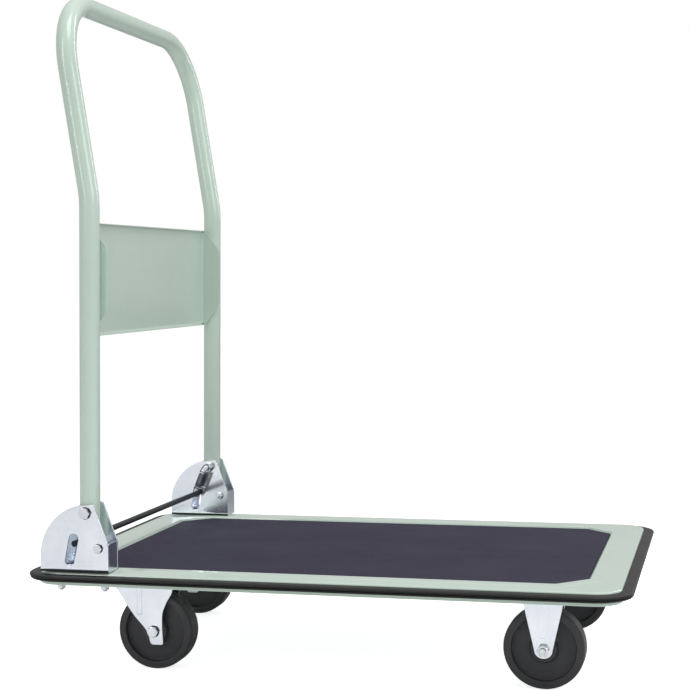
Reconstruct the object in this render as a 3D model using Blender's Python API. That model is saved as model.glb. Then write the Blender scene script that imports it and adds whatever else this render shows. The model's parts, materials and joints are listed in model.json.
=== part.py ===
"""Folding platform cart: pressed steel deck, rubber edge, four casters, fold-down handle.

Metres, +Z up. +X runs from the handle end to the front, -Y is the near side.
The origin is on the floor under the middle of the platform.
"""

import math

import bmesh
import bpy
from mathutils import Vector

GAP = 0.0003  # clearance between two pieces that touch

# platform
DECK_LENGTH = 0.7340
DECK_WIDTH = 0.5000
DECK_CORNER = 0.0330
SHEET = 0.0015
SKIRT_DEPTH = 0.0175  # skirt edge below the deck top
EDGE_ROUND = 0.0030
BAND_SIDE = 0.0420
BAND_FRONT = 0.0440
BAND_REAR = 0.0475
RECESS_DEPTH = 0.0050
RECESS_CHAMFER = 0.0360
CREASE_INSET = 0.0200
BAND_FALL = 0.0012
MAT_THICKNESS = 0.0023
MAT_PLAY = 0.0006
BUMPER_OUT = 0.0140
BUMPER_DROP = 0.0035  # strip's upper edge below the deck top
BUMPER_HEIGHT = 0.0085

# hinge and handle; rises are measured above the deck top
TUBE_D = 0.0254
TUBE_WALL = 0.0015
TUBE_INSET = 0.0150  # centre of a leg inside the deck edge
PIVOT_INSET = 0.0745  # pivot axis inside the rear deck edge
PIVOT_RISE = 0.0745
FOOT_PLAY = 0.0010  # a foot ends this far above the latch rod, so that it swings past
BEND_RISE = 0.4539
BEND_RADIUS = 0.1600
BEND_ANGLE = math.radians(9.7)
LEGS_LEAN = math.radians(1.0)  # legs lean forward onto their stops
CORNER_RADIUS = 0.0908
BAR_RISE = 0.7181  # centre of the top bar
PANEL_RISE = 0.2935
PANEL_HEIGHT = 0.1440
PANEL_SHEET = 0.0012
PANEL_HEM = 0.0060
PANEL_FLANGE = 0.0300  # end flanges that lie along the tubes
PANEL_CUT = 0.0320  # slope at both ends of a flange

# hinge bracket
PLATE = 0.0025
TUBE_PLAY = 0.0013  # each side of a leg, inside its bracket
BRACKET_REAR = 0.0615  # behind the pivot
BRACKET_FRONT = 0.0300  # ahead of the pivot
BRACKET_RISE = 0.0857
WEB_RISE = 0.0360
ARC_CENTRE = (0.0060, 0.0180)  # ahead of the pivot, above the deck top
ARC_RADIUS = 0.0677
STOP_AHEAD = 0.0170
STOP_RISE = 0.0305
SLOT_HIGH = (-0.0160, 0.0421)
SLOT_LOW = (-0.0220, 0.0139)
SLOT_PLAY = 0.0048
ROD_D = 0.0080
ROD_BEHIND = 0.0160
ROD_RISE = 0.0355
CLIP_WALL = 0.0040
CLIP_THICKNESS = 0.0012
WIRE_D = 0.0012
COIL_RADIUS = 0.0065
COIL_TURNS = 9
BASE_BOLT_X = (-0.0410, 0.0180)  # relative to the pivot
PAD_DEPTH = 0.0160
PAD_WIDTH = 0.0200
PAD_REAR = 0.0470  # behind the pivot, clear of the rounded deck corner

# fasteners: shank diameter, width across flats, head height, nut height
M8 = (0.0080, 0.0130, 0.0053, 0.0062)
M6 = (0.0060, 0.0100, 0.0040, 0.0048)

# casters
WHEEL_D = 0.1000
WHEEL_W = 0.0290
WHEEL_PLAY = 0.0158  # between the wheel and the fork's crown
TYRE_BAND = 0.0100
DISC_RECESS = 0.0055
HUB_D = 0.0320
HUB_PROUD = 0.0020
HUB_PLAY = 0.0005
BUSH_WALL = 0.0030
TRACK_INSET = 0.0885  # middle of a caster inside the deck edge
FRONT_INSET = 0.0975  # front axle inside the front deck edge
KINGPIN_INSET = 0.1065  # king pin inside the rear deck edge
TRAIL = 0.0290
FORK_SHEET = 0.0025
CASTER_PLATE = 0.0030
PLATE_LENGTH = 0.0950
PLATE_WIDTH = 0.0640
RACE_D = 0.0500
RACE_HEIGHT = 0.0060
KINGPIN_D = 0.0100
MEMBER_SHEET = 0.0025
MEMBER_INSET = 0.0500  # member's end inside the deck edge
MEMBER_WIDTH = 0.1040
MEMBER_FLANGE = 0.0080

# heights, from the wheel up to the deck and from the deck up to the handle
CROWN_TOP = WHEEL_D + WHEEL_PLAY + FORK_SHEET
RACE_TOP = CROWN_TOP + GAP + RACE_HEIGHT
CASTER_TOP = RACE_TOP + GAP + CASTER_PLATE
MEMBER_TOP = CASTER_TOP + GAP + MEMBER_SHEET
FLOOR_Z = MEMBER_TOP + GAP + SHEET
DECK_TOP = FLOOR_Z + RECESS_DEPTH
BAND_Z = DECK_TOP - BAND_FALL
SKIRT_BOTTOM = DECK_TOP - SKIRT_DEPTH
BUMPER_TOP = DECK_TOP - BUMPER_DROP
BUMPER_BOTTOM = BUMPER_TOP - BUMPER_HEIGHT
BASE_Z = DECK_TOP + GAP
PIVOT_Z = DECK_TOP + PIVOT_RISE
ROD_Z = DECK_TOP + ROD_RISE
BRACKET_TOP = DECK_TOP + BRACKET_RISE
WEB_TOP = DECK_TOP + WEB_RISE
BEND_START = DECK_TOP + BEND_RISE
HANDLE_TOP = DECK_TOP + BAR_RISE
PANEL_BOTTOM = DECK_TOP + PANEL_RISE
PANEL_TOP = PANEL_BOTTOM + PANEL_HEIGHT

# places along the cart
PIVOT_X = -DECK_LENGTH / 2 + PIVOT_INSET
KINGPIN_X = -DECK_LENGTH / 2 + KINGPIN_INSET
FRONT_X = DECK_LENGTH / 2 - FRONT_INSET
ROD_X = PIVOT_X - ROD_BEHIND

# places across it
HALF_SPACING = DECK_WIDTH / 2 - TUBE_INSET
TRACK = DECK_WIDTH - 2 * TRACK_INSET
MEMBER_LENGTH = DECK_WIDTH - 2 * MEMBER_INSET
BRACKET_WIDTH = TUBE_D + 2 * TUBE_PLAY + 2 * PLATE
OUTER_Y = HALF_SPACING + BRACKET_WIDTH / 2
INNER_Y = HALF_SPACING - BRACKET_WIDTH / 2
SPRING_Y = INNER_Y - GAP - M8[3] - COIL_RADIUS
HUB_W = WHEEL_W + 2 * HUB_PROUD
FORK_GAP = HUB_W + 2 * HUB_PLAY

# fits
FOOT_LENGTH = PIVOT_RISE - ROD_RISE - ROD_D / 2 - FOOT_PLAY
SLOT_WIDTH = ROD_D + SLOT_PLAY
CLIP_D = ROD_D + 2 * CLIP_WALL
BUSH_D = M8[0] + 2 * BUSH_WALL

SIDES = (("near", -1), ("far", 1))
PAINT = (0.40, 0.53, 0.44)
ZINC = (0.72, 0.75, 0.80)
STEEL = (0.35, 0.36, 0.38)


def clear_scene():
    for item in list(bpy.data.objects):
        bpy.data.objects.remove(item, do_unlink=True)


def material(name, colour, metallic, roughness):
    mat = bpy.data.materials.new(name)
    mat.use_nodes = True
    shader = mat.node_tree.nodes["Principled BSDF"]
    shader.inputs["Base Color"].default_value = (*colour, 1.0)
    shader.inputs["Metallic"].default_value = metallic
    shader.inputs["Roughness"].default_value = roughness
    return mat


FINISHES = {
    "paint": (PAINT, 0.0, 0.35),
    "mat": ((0.035, 0.032, 0.065), 0.0, 0.75),
    "rubber": ((0.025, 0.025, 0.027), 0.0, 0.6),
    "zinc": (ZINC, 1.0, 0.3),
    "steel": (STEEL, 1.0, 0.4),
    "wheel": ((0.035, 0.035, 0.038), 0.0, 0.5),
}


def finish_object(name, bm, finish, origin=(0.0, 0.0, 0.0), smooth=False):
    """Link the mesh as one named object whose origin sits at the given point."""
    bmesh.ops.recalc_face_normals(bm, faces=bm.faces)
    bmesh.ops.translate(bm, verts=bm.verts, vec=-Vector(origin))
    mesh = bpy.data.meshes.new(name)
    bm.to_mesh(mesh)
    bm.free()
    mesh.polygons.foreach_set("use_smooth", [smooth] * len(mesh.polygons))
    item = bpy.data.objects.new(name, mesh)
    item.location = origin
    bpy.context.collection.objects.link(item)
    mesh.materials.append(material(name, *FINISHES[finish]))
    return item


def loft(loops, closed):
    """Join equal loops of points with quads; cap both ends unless the loft closes on itself."""
    bm = bmesh.new()
    rows = [[bm.verts.new(point) for point in loop] for loop in loops]
    count = len(rows[0])
    pairs = list(zip(rows, rows[1:]))
    if closed:
        pairs.append((rows[-1], rows[0]))
    for low, high in pairs:
        for i in range(count):
            j = (i + 1) % count
            bm.faces.new((low[i], low[j], high[j], high[i]))
    if not closed:
        bm.faces.new(rows[0])
        bm.faces.new(rows[-1])
    return bm


def axis_frame(axis):
    """Two unit vectors that span the plane across an axis."""
    axis = Vector(axis).normalized()
    side = Vector((1, 0, 0)) if abs(axis.x) < 0.9 else Vector((0, 0, 1))
    first = (side - axis * side.dot(axis)).normalized()
    return axis, first, axis.cross(first)


def turned(stations, origin, axis, closed, segments=12):
    """Turn stations (along, radius, flats) about an axis; flats makes that station a hexagon."""
    axis, first, second = axis_frame(axis)
    origin = Vector(origin)
    loops = []
    for along, radius, flats in stations:
        loop = []
        for i in range(segments):
            angle = 2 * math.pi * i / segments
            reach = radius
            if flats:
                part = angle % (math.pi / 3) - math.pi / 6
                reach = radius / math.cos(part)
            across = first * math.cos(angle) + second * math.sin(angle)
            loop.append(origin + axis * along + across * reach)
        loops.append(loop)
    return loft(loops, closed)


def hex_bolt(name, origin, axis, size, shank_length, finish="zinc"):
    """Hexagon bolt: origin under the head, axis pointing from the head along the shank."""
    shank, flats, head, _ = size
    radius = shank / 2
    stations = [
        (-head, flats * 0.46, False),
        (-head * 0.82, flats / 2, True),
        (0.0, flats / 2, True),
        (0.0, radius, False),
        (shank_length - 0.0008, radius, False),
        (shank_length, radius - 0.0008, False),
    ]
    return finish_object(name, turned(stations, origin, axis, False), finish, origin)


def hex_nut(name, origin, axis, size, finish="zinc"):
    """Hexagon nut that starts at the origin and grows along the axis."""
    shank, flats, _, height = size
    bore = shank / 2 + GAP
    stations = [
        (0.0, bore, False),
        (0.0, flats / 2, True),
        (height * 0.85, flats / 2, True),
        (height, flats * 0.46, False),
        (height, bore, False),
    ]
    return finish_object(name, turned(stations, origin, axis, True), finish, origin)


def collar(name, origin, axis, inner, outer, length, finish="zinc", segments=16):
    """Plain ring from the origin along the axis."""
    stations = [
        (0.0, inner, False),
        (0.0, outer, False),
        (length, outer, False),
        (length, inner, False),
    ]
    body = turned(stations, origin, axis, True, segments)
    return finish_object(name, body, finish, origin, smooth=False)


def place(u, v, w, axis):
    """Point from outline coordinates (u, v) at distance w along the extrusion axis."""
    if axis == "X":
        return (w, u, v)
    if axis == "Y":
        return (u, w, v)
    return (u, v, w)


def prism(outline, holes, axis, start, end):
    """Extrude an outline with holes along X, Y or Z."""
    bm = bmesh.new()
    edges = []
    for ring in [outline] + list(holes):
        verts = [bm.verts.new(place(u, v, start, axis)) for u, v in ring]
        for i, vert in enumerate(verts):
            edges.append(bm.edges.new((vert, verts[(i + 1) % len(verts)])))
    bmesh.ops.triangle_fill(bm, use_beauty=True, edges=edges)
    grown = bmesh.ops.extrude_face_region(bm, geom=list(bm.faces))["geom"]
    moved = [item for item in grown if isinstance(item, bmesh.types.BMVert)]
    shift = Vector(place(0.0, 0.0, end - start, axis))
    bmesh.ops.translate(bm, verts=moved, vec=shift)
    return bm


def circle(centre, radius, count=16):
    step = 2 * math.pi / count
    return [
        (centre[0] + radius * math.cos(i * step), centre[1] + radius * math.sin(i * step))
        for i in range(count)
    ]


def slot(low, high, width, count=8):
    """Round-ended slot between two centres."""
    along = Vector((high[0] - low[0], high[1] - low[1])).normalized()
    heading = math.atan2(along.y, along.x)
    points = []
    for centre, start in ((high, heading - math.pi / 2), (low, heading + math.pi / 2)):
        for i in range(count + 1):
            angle = start + math.pi * i / count
            points.append(
                (
                    centre[0] + width / 2 * math.cos(angle),
                    centre[1] + width / 2 * math.sin(angle),
                )
            )
    return points


def round_corners(corners, radius, count=4):
    """Replace each corner of a convex or concave outline by a short arc of points."""
    points = []
    total = len(corners)
    for i, corner in enumerate(corners):
        here = Vector(corner)
        before = Vector(corners[i - 1]) - here
        after = Vector(corners[(i + 1) % total]) - here
        reach = min(radius, before.length * 0.45, after.length * 0.45)
        first = here + before.normalized() * reach
        last = here + after.normalized() * reach
        for k in range(count + 1):
            t = k / count
            point = first * (1 - t) ** 2 + here * 2 * t * (1 - t) + last * t**2
            points.append((point.x, point.y))
    return points


def modify(item, other, operation):
    """Boolean with another object, which then stays as a hidden tool."""
    step = item.modifiers.new(other.name, "BOOLEAN")
    step.operation = operation
    step.solver = "EXACT"
    step.object = other
    other.hide_render = True
    other.display_type = "WIRE"


def drill(item, name, origin, axis, radius, length):
    """Round hole centred on a point, cut along an axis."""
    stations = [(-length / 2, radius, False), (length / 2, radius, False)]
    tool = finish_object(name, turned(stations, origin, axis, False, 16), "steel")
    modify(item, tool, "DIFFERENCE")


CORNER_STEPS = 6


def deck_loop(inset, z):
    """Rounded rectangle of the deck edge, inset from its side wall."""
    half_x = DECK_LENGTH / 2 - inset
    half_y = DECK_WIDTH / 2 - inset
    radius = max(DECK_CORNER - inset, 0.002)
    loop = []
    for quarter, (sx, sy) in enumerate(((1, 1), (-1, 1), (-1, -1), (1, -1))):
        cx = sx * (half_x - radius)
        cy = sy * (half_y - radius)
        for i in range(CORNER_STEPS + 1):
            angle = math.pi / 2 * (quarter + i / CORNER_STEPS)
            loop.append((cx + radius * math.cos(angle), cy + radius * math.sin(angle), z))
    return loop


def recess_loop(inset, z):
    """Cut-cornered outline of the mat recess; a negative inset grows it."""
    front = DECK_LENGTH / 2 - BAND_FRONT - inset
    rear = -DECK_LENGTH / 2 + BAND_REAR + inset
    side = DECK_WIDTH / 2 - BAND_SIDE - inset
    cut = RECESS_CHAMFER - inset * (2 - math.sqrt(2))
    corners = (
        ((front, side - cut), (front - cut, side)),
        ((rear + cut, side), (rear, side - cut)),
        ((rear, -side + cut), (rear + cut, -side)),
        ((front - cut, -side), (front, -side + cut)),
    )
    loop = []
    for first, last in corners:
        for i in range(CORNER_STEPS + 1):
            t = i / CORNER_STEPS
            loop.append(
                (first[0] * (1 - t) + last[0] * t, first[1] * (1 - t) + last[1] * t, z)
            )
    return loop


def build_deck():
    """Pressed pan: recessed floor, flat inner band, falling outer band, rounded edge, skirt."""
    slope = RECESS_DEPTH * 0.5
    under = SHEET
    loops = [
        recess_loop(0.0, FLOOR_Z),
        recess_loop(-slope, DECK_TOP),
        recess_loop(-CREASE_INSET, DECK_TOP),
        deck_loop(EDGE_ROUND, BAND_Z),
        deck_loop(EDGE_ROUND * 0.3, BAND_Z - EDGE_ROUND * 0.3),
        deck_loop(0.0, BAND_Z - EDGE_ROUND),
        deck_loop(0.0, SKIRT_BOTTOM),
        deck_loop(SHEET, SKIRT_BOTTOM),
        deck_loop(SHEET, BAND_Z - EDGE_ROUND - under * 0.5),
        deck_loop(EDGE_ROUND + 0.001, BAND_Z - under),
        recess_loop(-CREASE_INSET, DECK_TOP - under),
        recess_loop(-slope - 0.001, DECK_TOP - under),
        recess_loop(-0.001, FLOOR_Z - under),
    ]
    deck = finish_object("deck_pan", loft(loops, False), "paint")
    for label, side in SIDES:
        for order, offset in zip("ab", BASE_BOLT_X):
            centre = (PIVOT_X + offset, side * HALF_SPACING, DECK_TOP)
            name = f"tool_deck_hole_{label}_{order}"
            drill(deck, name, centre, (0, 0, 1), M6[0] / 2 + GAP, 0.012)


def build_mat():
    low = FLOOR_Z + GAP
    high = low + MAT_THICKNESS
    loops = [
        recess_loop(MAT_PLAY, low),
        recess_loop(MAT_PLAY, high - 0.0006),
        recess_loop(MAT_PLAY + 0.0006, high),
    ]
    finish_object("anti_slip_mat", loft(loops, False), "mat")


def build_bumper():
    """Rubber edge strip with a domed outer face, all the way round the skirt."""
    height = BUMPER_TOP - BUMPER_BOTTOM
    section = [
        (GAP, 0.0),
        (BUMPER_OUT * 0.55, 0.0),
        (BUMPER_OUT * 0.85, 0.10),
        (BUMPER_OUT, 0.34),
        (BUMPER_OUT, 0.62),
        (BUMPER_OUT * 0.86, 0.88),
        (BUMPER_OUT * 0.60, 1.0),
        (GAP, 1.0),
    ]
    loops = [deck_loop(-out, BUMPER_BOTTOM + height * up) for out, up in section]
    finish_object("edge_bumper", loft(loops, True), "rubber", smooth=False)


def channel_outline(width, top, sheet, flange):
    """Cross-section of a sheet with both edges turned down."""
    half = width / 2
    return [
        (-half, top),
        (half, top),
        (half, top - flange),
        (half - sheet, top - flange),
        (half - sheet, top - sheet),
        (-half + sheet, top - sheet),
        (-half + sheet, top - flange),
        (-half, top - flange),
    ]


def build_members():
    """Sheet members under the deck that carry the casters and stiffen the floor."""
    half = MEMBER_LENGTH / 2
    for name, x in (("cross_member_rear", KINGPIN_X), ("cross_member_front", FRONT_X)):
        outline = channel_outline(MEMBER_WIDTH, MEMBER_TOP, MEMBER_SHEET, MEMBER_FLANGE)
        body = prism([(u + x, v) for u, v in outline], [], "Y", -half, half)
        member = finish_object(name, body, "paint")
        if x == KINGPIN_X:
            for label, side in SIDES:
                centre = (x, side * TRACK / 2, MEMBER_TOP)
                drill(member, f"tool_member_{label}", centre, (0, 0, 1), 0.0120, 0.012)
    start = KINGPIN_X + MEMBER_WIDTH / 2 + 0.002
    end = FRONT_X - MEMBER_WIDTH / 2 - 0.002
    outline = channel_outline(0.0600, MEMBER_TOP, MEMBER_SHEET, 0.0140)
    finish_object("centre_stiffener", prism(outline, [], "X", start, end), "paint")


def build_pad(label, side):
    """Channel under the deck band that the hinge bracket's bolts pull against."""
    y = side * HALF_SPACING
    top = DECK_TOP - SHEET - BAND_FALL - GAP
    low = top - PAD_DEPTH
    half = PAD_WIDTH / 2
    outline = [
        (y - half, low),
        (y + half, low),
        (y + half, top),
        (y + half - PLATE, top),
        (y + half - PLATE, low + PLATE),
        (y - half + PLATE, low + PLATE),
        (y - half + PLATE, top),
        (y - half, top),
    ]
    start = PIVOT_X - PAD_REAR
    end = PIVOT_X + BRACKET_FRONT - 0.001
    pad = finish_object(f"hinge_pad_{label}", prism(outline, [], "X", start, end), "zinc")
    for order, offset in zip("ab", BASE_BOLT_X):
        centre = (PIVOT_X + offset, y, low)
        drill(pad, f"tool_pad_{label}_{order}", centre, (0, 0, 1), M6[0] / 2 + GAP, 0.012)
        bottom = (centre[0], y, low - GAP)
        hex_nut(f"bracket_nut_{label}_{order}", bottom, (0, 0, -1), M6)
        top_face = (centre[0], y, BASE_Z + PLATE + GAP)
        length = top_face[2] - low + M6[3] + 0.0025
        hex_bolt(f"bracket_bolt_{label}_{order}", top_face, (0, 0, -1), M6, length)


def bracket_outline():
    """Side view of the hinge bracket: square foot, round back, slanted front shoulder."""
    base = BASE_Z
    centre = Vector((PIVOT_X + ARC_CENTRE[0], DECK_TOP + ARC_CENTRE[1]))
    rear = PIVOT_X - BRACKET_REAR
    front = PIVOT_X + BRACKET_FRONT
    top = BRACKET_TOP
    points = [(rear, base), (front, base), (front, WEB_TOP)]
    shoulder = [(front, WEB_TOP), (front - 0.0180, top - 0.0015)]
    points += [shoulder[1], (front - 0.0225, top)]
    start = math.acos((PIVOT_X - 0.0140 - centre.x) / ARC_RADIUS)
    end = math.pi - math.asin(0.010 / ARC_RADIUS)
    for i in range(11):
        angle = start + (end - start) * i / 10
        x = centre.x + ARC_RADIUS * math.cos(angle)
        z = centre.y + ARC_RADIUS * math.sin(angle)
        points.append((max(x, rear), min(z, top)))
    return points


def build_bracket(label, side):
    """One folded bracket: base, two side plates with slot and holes, front web."""
    y = side * HALF_SPACING
    half = BRACKET_WIDTH / 2
    base = BASE_Z
    top = BRACKET_TOP + 0.004
    start = PIVOT_X - BRACKET_REAR - 0.002
    end = PIVOT_X + BRACKET_FRONT + 0.002
    outline = [
        (y - half + 0.001, base),
        (y + half - 0.001, base),
        (y + half, base + 0.001),
        (y + half, top),
        (y + half - PLATE, top),
        (y + half - PLATE, base + PLATE),
        (y - half + PLATE, base + PLATE),
        (y - half + PLATE, top),
        (y - half, top),
        (y - half, base + 0.001),
    ]
    origin = (PIVOT_X, y, base)
    channel = prism(outline, [], "X", start, end)
    bracket = finish_object(f"hinge_bracket_{label}", channel, "zinc", origin)
    front = PIVOT_X + BRACKET_FRONT
    web = [
        (y - half + 0.001, base + 0.001),
        (y + half - 0.001, base + 0.001),
        (y + half - 0.001, WEB_TOP),
        (y - half + 0.001, WEB_TOP),
    ]
    web_body = prism(web, [], "X", front - PLATE, front + 0.001)
    modify(bracket, finish_object(f"tool_web_{label}", web_body, "steel"), "UNION")
    holes = [
        circle((PIVOT_X, PIVOT_Z), M8[0] / 2 + GAP),
        circle((PIVOT_X + STOP_AHEAD, DECK_TOP + STOP_RISE), M6[0] / 2 + GAP),
        slot(
            (PIVOT_X + SLOT_LOW[0], DECK_TOP + SLOT_LOW[1]),
            (PIVOT_X + SLOT_HIGH[0], DECK_TOP + SLOT_HIGH[1]),
            SLOT_WIDTH,
        ),
    ]
    shape = prism(bracket_outline(), holes, "Y", y - half - 0.002, y + half + 0.002)
    modify(bracket, finish_object(f"tool_shape_{label}", shape, "steel"), "INTERSECT")
    for order, offset in zip("ab", BASE_BOLT_X):
        centre = (PIVOT_X + offset, y, base)
        name = f"tool_bracket_{label}_{order}"
        drill(bracket, name, centre, (0, 0, 1), M6[0] / 2 + GAP, 0.012)


def build_hinge_bolts(label, side):
    """Pivot bolt with nut and spring end, and the stop bolt ahead of it."""
    inward = (0, -side, 0)
    outer = side * (OUTER_Y + GAP)
    inner = side * (INNER_Y - GAP)
    reach = OUTER_Y + GAP - (SPRING_Y - 0.0030)
    hex_bolt(f"pivot_bolt_{label}", (PIVOT_X, outer, PIVOT_Z), inward, M8, reach)
    hex_nut(f"pivot_nut_{label}", (PIVOT_X, inner, PIVOT_Z), inward, M8)
    stop = (PIVOT_X + STOP_AHEAD, DECK_TOP + STOP_RISE)
    length = BRACKET_WIDTH + 2 * GAP + M6[3] + 0.0015
    hex_bolt(f"stop_bolt_{label}", (stop[0], outer, stop[1]), inward, M6, length)
    hex_nut(f"stop_nut_{label}", (stop[0], inner, stop[1]), inward, M6)


def sweep_rings(path, radius, count):
    """Rings of points that follow a path, carried along without twist."""
    points = [Vector(point) for point in path]
    rings = []
    across = None
    for i, point in enumerate(points):
        ahead = points[min(i + 1, len(points) - 1)]
        behind = points[max(i - 1, 0)]
        tangent = (ahead - behind).normalized()
        if across is None:
            across = axis_frame(tangent)[1]
        across = (across - tangent * across.dot(tangent)).normalized()
        other = tangent.cross(across)
        ring = []
        for k in range(count):
            angle = 2 * math.pi * k / count
            ring.append(point + across * radius * math.cos(angle) + other * radius * math.sin(angle))
        rings.append(ring)
    return rings


def leaned(x, z):
    """Turn a point of the upright handle about the pivot axis by the lean of the legs."""
    ahead = x - PIVOT_X
    up = z - PIVOT_Z
    cosine = math.cos(LEGS_LEAN)
    sine = math.sin(LEGS_LEAN)
    return PIVOT_X + ahead * cosine + up * sine, PIVOT_Z - ahead * sine + up * cosine


def handle_path():
    """Centre line of the hoop: foot, leg, lean-back bend, corner, top bar and back down."""
    foot = PIVOT_Z - FOOT_LENGTH
    half = [(PIVOT_X, -HALF_SPACING, foot), (PIVOT_X, -HALF_SPACING, PIVOT_Z + 0.02)]
    for i in range(6):
        angle = BEND_ANGLE * i / 5
        x = PIVOT_X - BEND_RADIUS * (1 - math.cos(angle))
        z = BEND_START + BEND_RADIUS * math.sin(angle)
        half.append((x, -HALF_SPACING, z))
    bend_x, _, bend_z = half[-1]
    rise = (HANDLE_TOP - bend_z) / math.cos(BEND_ANGLE)
    straight = rise - CORNER_RADIUS
    lean = Vector((-math.sin(BEND_ANGLE), 0.0, math.cos(BEND_ANGLE)))
    start = Vector((bend_x, -HALF_SPACING, bend_z)) + lean * straight
    for i in range(11):
        angle = math.pi / 2 * i / 10
        up = CORNER_RADIUS * math.sin(angle)
        over = CORNER_RADIUS * (1 - math.cos(angle))
        half.append(tuple(start + lean * up + Vector((0, over, 0))))
    near = []
    for x, y, z in half:
        ahead, up = leaned(x, z)
        near.append((ahead, y, up))
    far = [(x, -y, z) for x, y, z in reversed(near)]
    return near + far


def build_handle():
    """Tube hoop with open feet, drilled for the pivot bolts, and the sheet panel between."""
    origin = (PIVOT_X, 0.0, PIVOT_Z)
    path = handle_path()
    outer = sweep_rings(path, TUBE_D / 2, 12)
    inner = sweep_rings(path, TUBE_D / 2 - TUBE_WALL, 12)
    body = loft(outer + inner[::-1], True)
    tube = finish_object("handle_tube", body, "paint", origin, smooth=False)
    for label, side in SIDES:
        centre = (PIVOT_X, side * HALF_SPACING, PIVOT_Z)
        drill(tube, f"tool_pivot_{label}", centre, (0, 1, 0), M8[0] / 2 + GAP, 0.04)
    build_panel(origin)


def lean_mesh(bm):
    """Give a mesh built upright the lean of the legs."""
    for vert in bm.verts:
        vert.co.x, vert.co.z = leaned(vert.co.x, vert.co.z)
    return bm


def build_panel(origin):
    """Sheet panel flush with the back of the tubes: end flanges forward, hems top and bottom."""
    half = HALF_SPACING - TUBE_D / 2 - GAP
    back = PIVOT_X - TUBE_D / 2 + GAP
    face = back + PANEL_SHEET
    front = back + PANEL_FLANGE
    wall = half - PANEL_SHEET
    plan = [
        (back, -half),
        (front, -half),
        (front, -wall),
        (face, -wall),
        (face, wall),
        (front, wall),
        (front, half),
        (back, half),
    ]
    tray = lean_mesh(prism(plan, [], "Z", PANEL_BOTTOM, PANEL_TOP))
    panel = finish_object("handle_panel", tray, "paint", origin)
    hem = back + PANEL_HEM
    side = [
        (back - 0.001, PANEL_BOTTOM),
        (hem, PANEL_BOTTOM),
        (front + 0.001, PANEL_BOTTOM + PANEL_CUT),
        (front + 0.001, PANEL_TOP - PANEL_CUT),
        (hem, PANEL_TOP),
        (back - 0.001, PANEL_TOP),
    ]
    trim = lean_mesh(prism(side, [], "Y", -half - 0.001, half + 0.001))
    modify(panel, finish_object("tool_panel_side", trim, "steel"), "INTERSECT")
    edges = (
        ("low", PANEL_BOTTOM + 0.0006, PANEL_BOTTOM + 0.0006 + PANEL_SHEET),
        ("high", PANEL_TOP - 0.0006 - PANEL_SHEET, PANEL_TOP - 0.0006),
    )
    for name, low, high in edges:
        strip = [(face - 0.0004, low), (hem, low), (hem, high), (face - 0.0004, high)]
        lip = lean_mesh(prism(strip, [], "Y", -wall - 0.0004, wall + 0.0004))
        modify(panel, finish_object(f"tool_panel_{name}", lip, "steel"), "UNION")


def build_latch():
    """Rod across both brackets, with a clip inside each bracket."""
    length = 2 * (OUTER_Y - 0.0010)
    start = (ROD_X, -length / 2, ROD_Z)
    radius = ROD_D / 2
    stations = [
        (0.0, radius - 0.0008, False),
        (0.0008, radius, False),
        (length - 0.0008, radius, False),
        (length, radius - 0.0008, False),
    ]
    body = turned(stations, start, (0, 1, 0), False, 16)
    finish_object("latch_rod", body, "steel", (ROD_X, 0.0, ROD_Z), smooth=False)
    for label, side in SIDES:
        face = (ROD_X, side * (INNER_Y - 0.0006), ROD_Z)
        inner = radius + GAP
        collar(f"latch_clip_{label}", face, (0, -side, 0), inner, CLIP_D / 2, CLIP_THICKNESS)


def spring_path(y):
    """Hook round the pivot bolt, coil, hook round the rod."""
    top = Vector((PIVOT_X, y, PIVOT_Z))
    low = Vector((ROD_X, y, ROD_Z))
    along = (low - top).normalized()
    across = Vector((along.z, 0.0, -along.x))
    out = Vector((0.0, 1.0, 0.0))
    length = (low - top).length
    hook = M8[0] / 2 + GAP + WIRE_D / 2
    grip = ROD_D / 2 + GAP + WIRE_D / 2
    begin = hook + 0.0035
    coil_length = length - begin - grip - 0.0035
    points = []
    for i in range(9):
        angle = math.radians(300 - 210 * i / 8)
        points.append(top + along * hook * math.cos(angle) + across * hook * math.sin(angle))
    steps = 8 * COIL_TURNS
    for i in range(steps + 1):
        angle = 2 * math.pi * COIL_TURNS * i / steps
        advance = begin + coil_length * i / steps
        offset = across * math.cos(angle) + out * math.sin(angle)
        points.append(top + along * advance + offset * COIL_RADIUS)
    for i in range(9):
        angle = math.radians(90 - 210 * i / 8)
        points.append(low + along * grip * math.cos(angle) + across * grip * math.sin(angle))
    return points


def build_spring(label, side):
    """Tension spring that pulls the latch rod up behind the handle tube."""
    body = loft(sweep_rings(spring_path(side * SPRING_Y), WIRE_D / 2, 5), False)
    finish_object(f"latch_spring_{label}", body, "steel", smooth=True)


def build_wheel(name, x, y):
    """Moulded wheel: flat tread, wide rim band, recessed disc, hub."""
    half = WHEEL_W / 2
    rim = WHEEL_D / 2
    disc = half - DISC_RECESS
    hub = HUB_D / 2
    bore = BUSH_D / 2 + GAP
    right = [
        (disc, hub + 0.003),
        (disc, rim - TYRE_BAND - 0.002),
        (half, rim - TYRE_BAND),
        (half, rim - 0.0030),
        (half - 0.0010, rim - 0.0010),
        (half - 0.0035, rim),
    ]
    ends = [(HUB_W / 2, bore), (HUB_W / 2, hub)]
    profile = ends + right
    profile += [(-a, r) for a, r in reversed(profile)]
    stations = [(along, radius, False) for along, radius in profile]
    centre = (x, y, WHEEL_D / 2)
    body = turned(stations, centre, (0, 1, 0), True, 28)
    finish_object(name, body, "wheel", centre, smooth=False)


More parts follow.
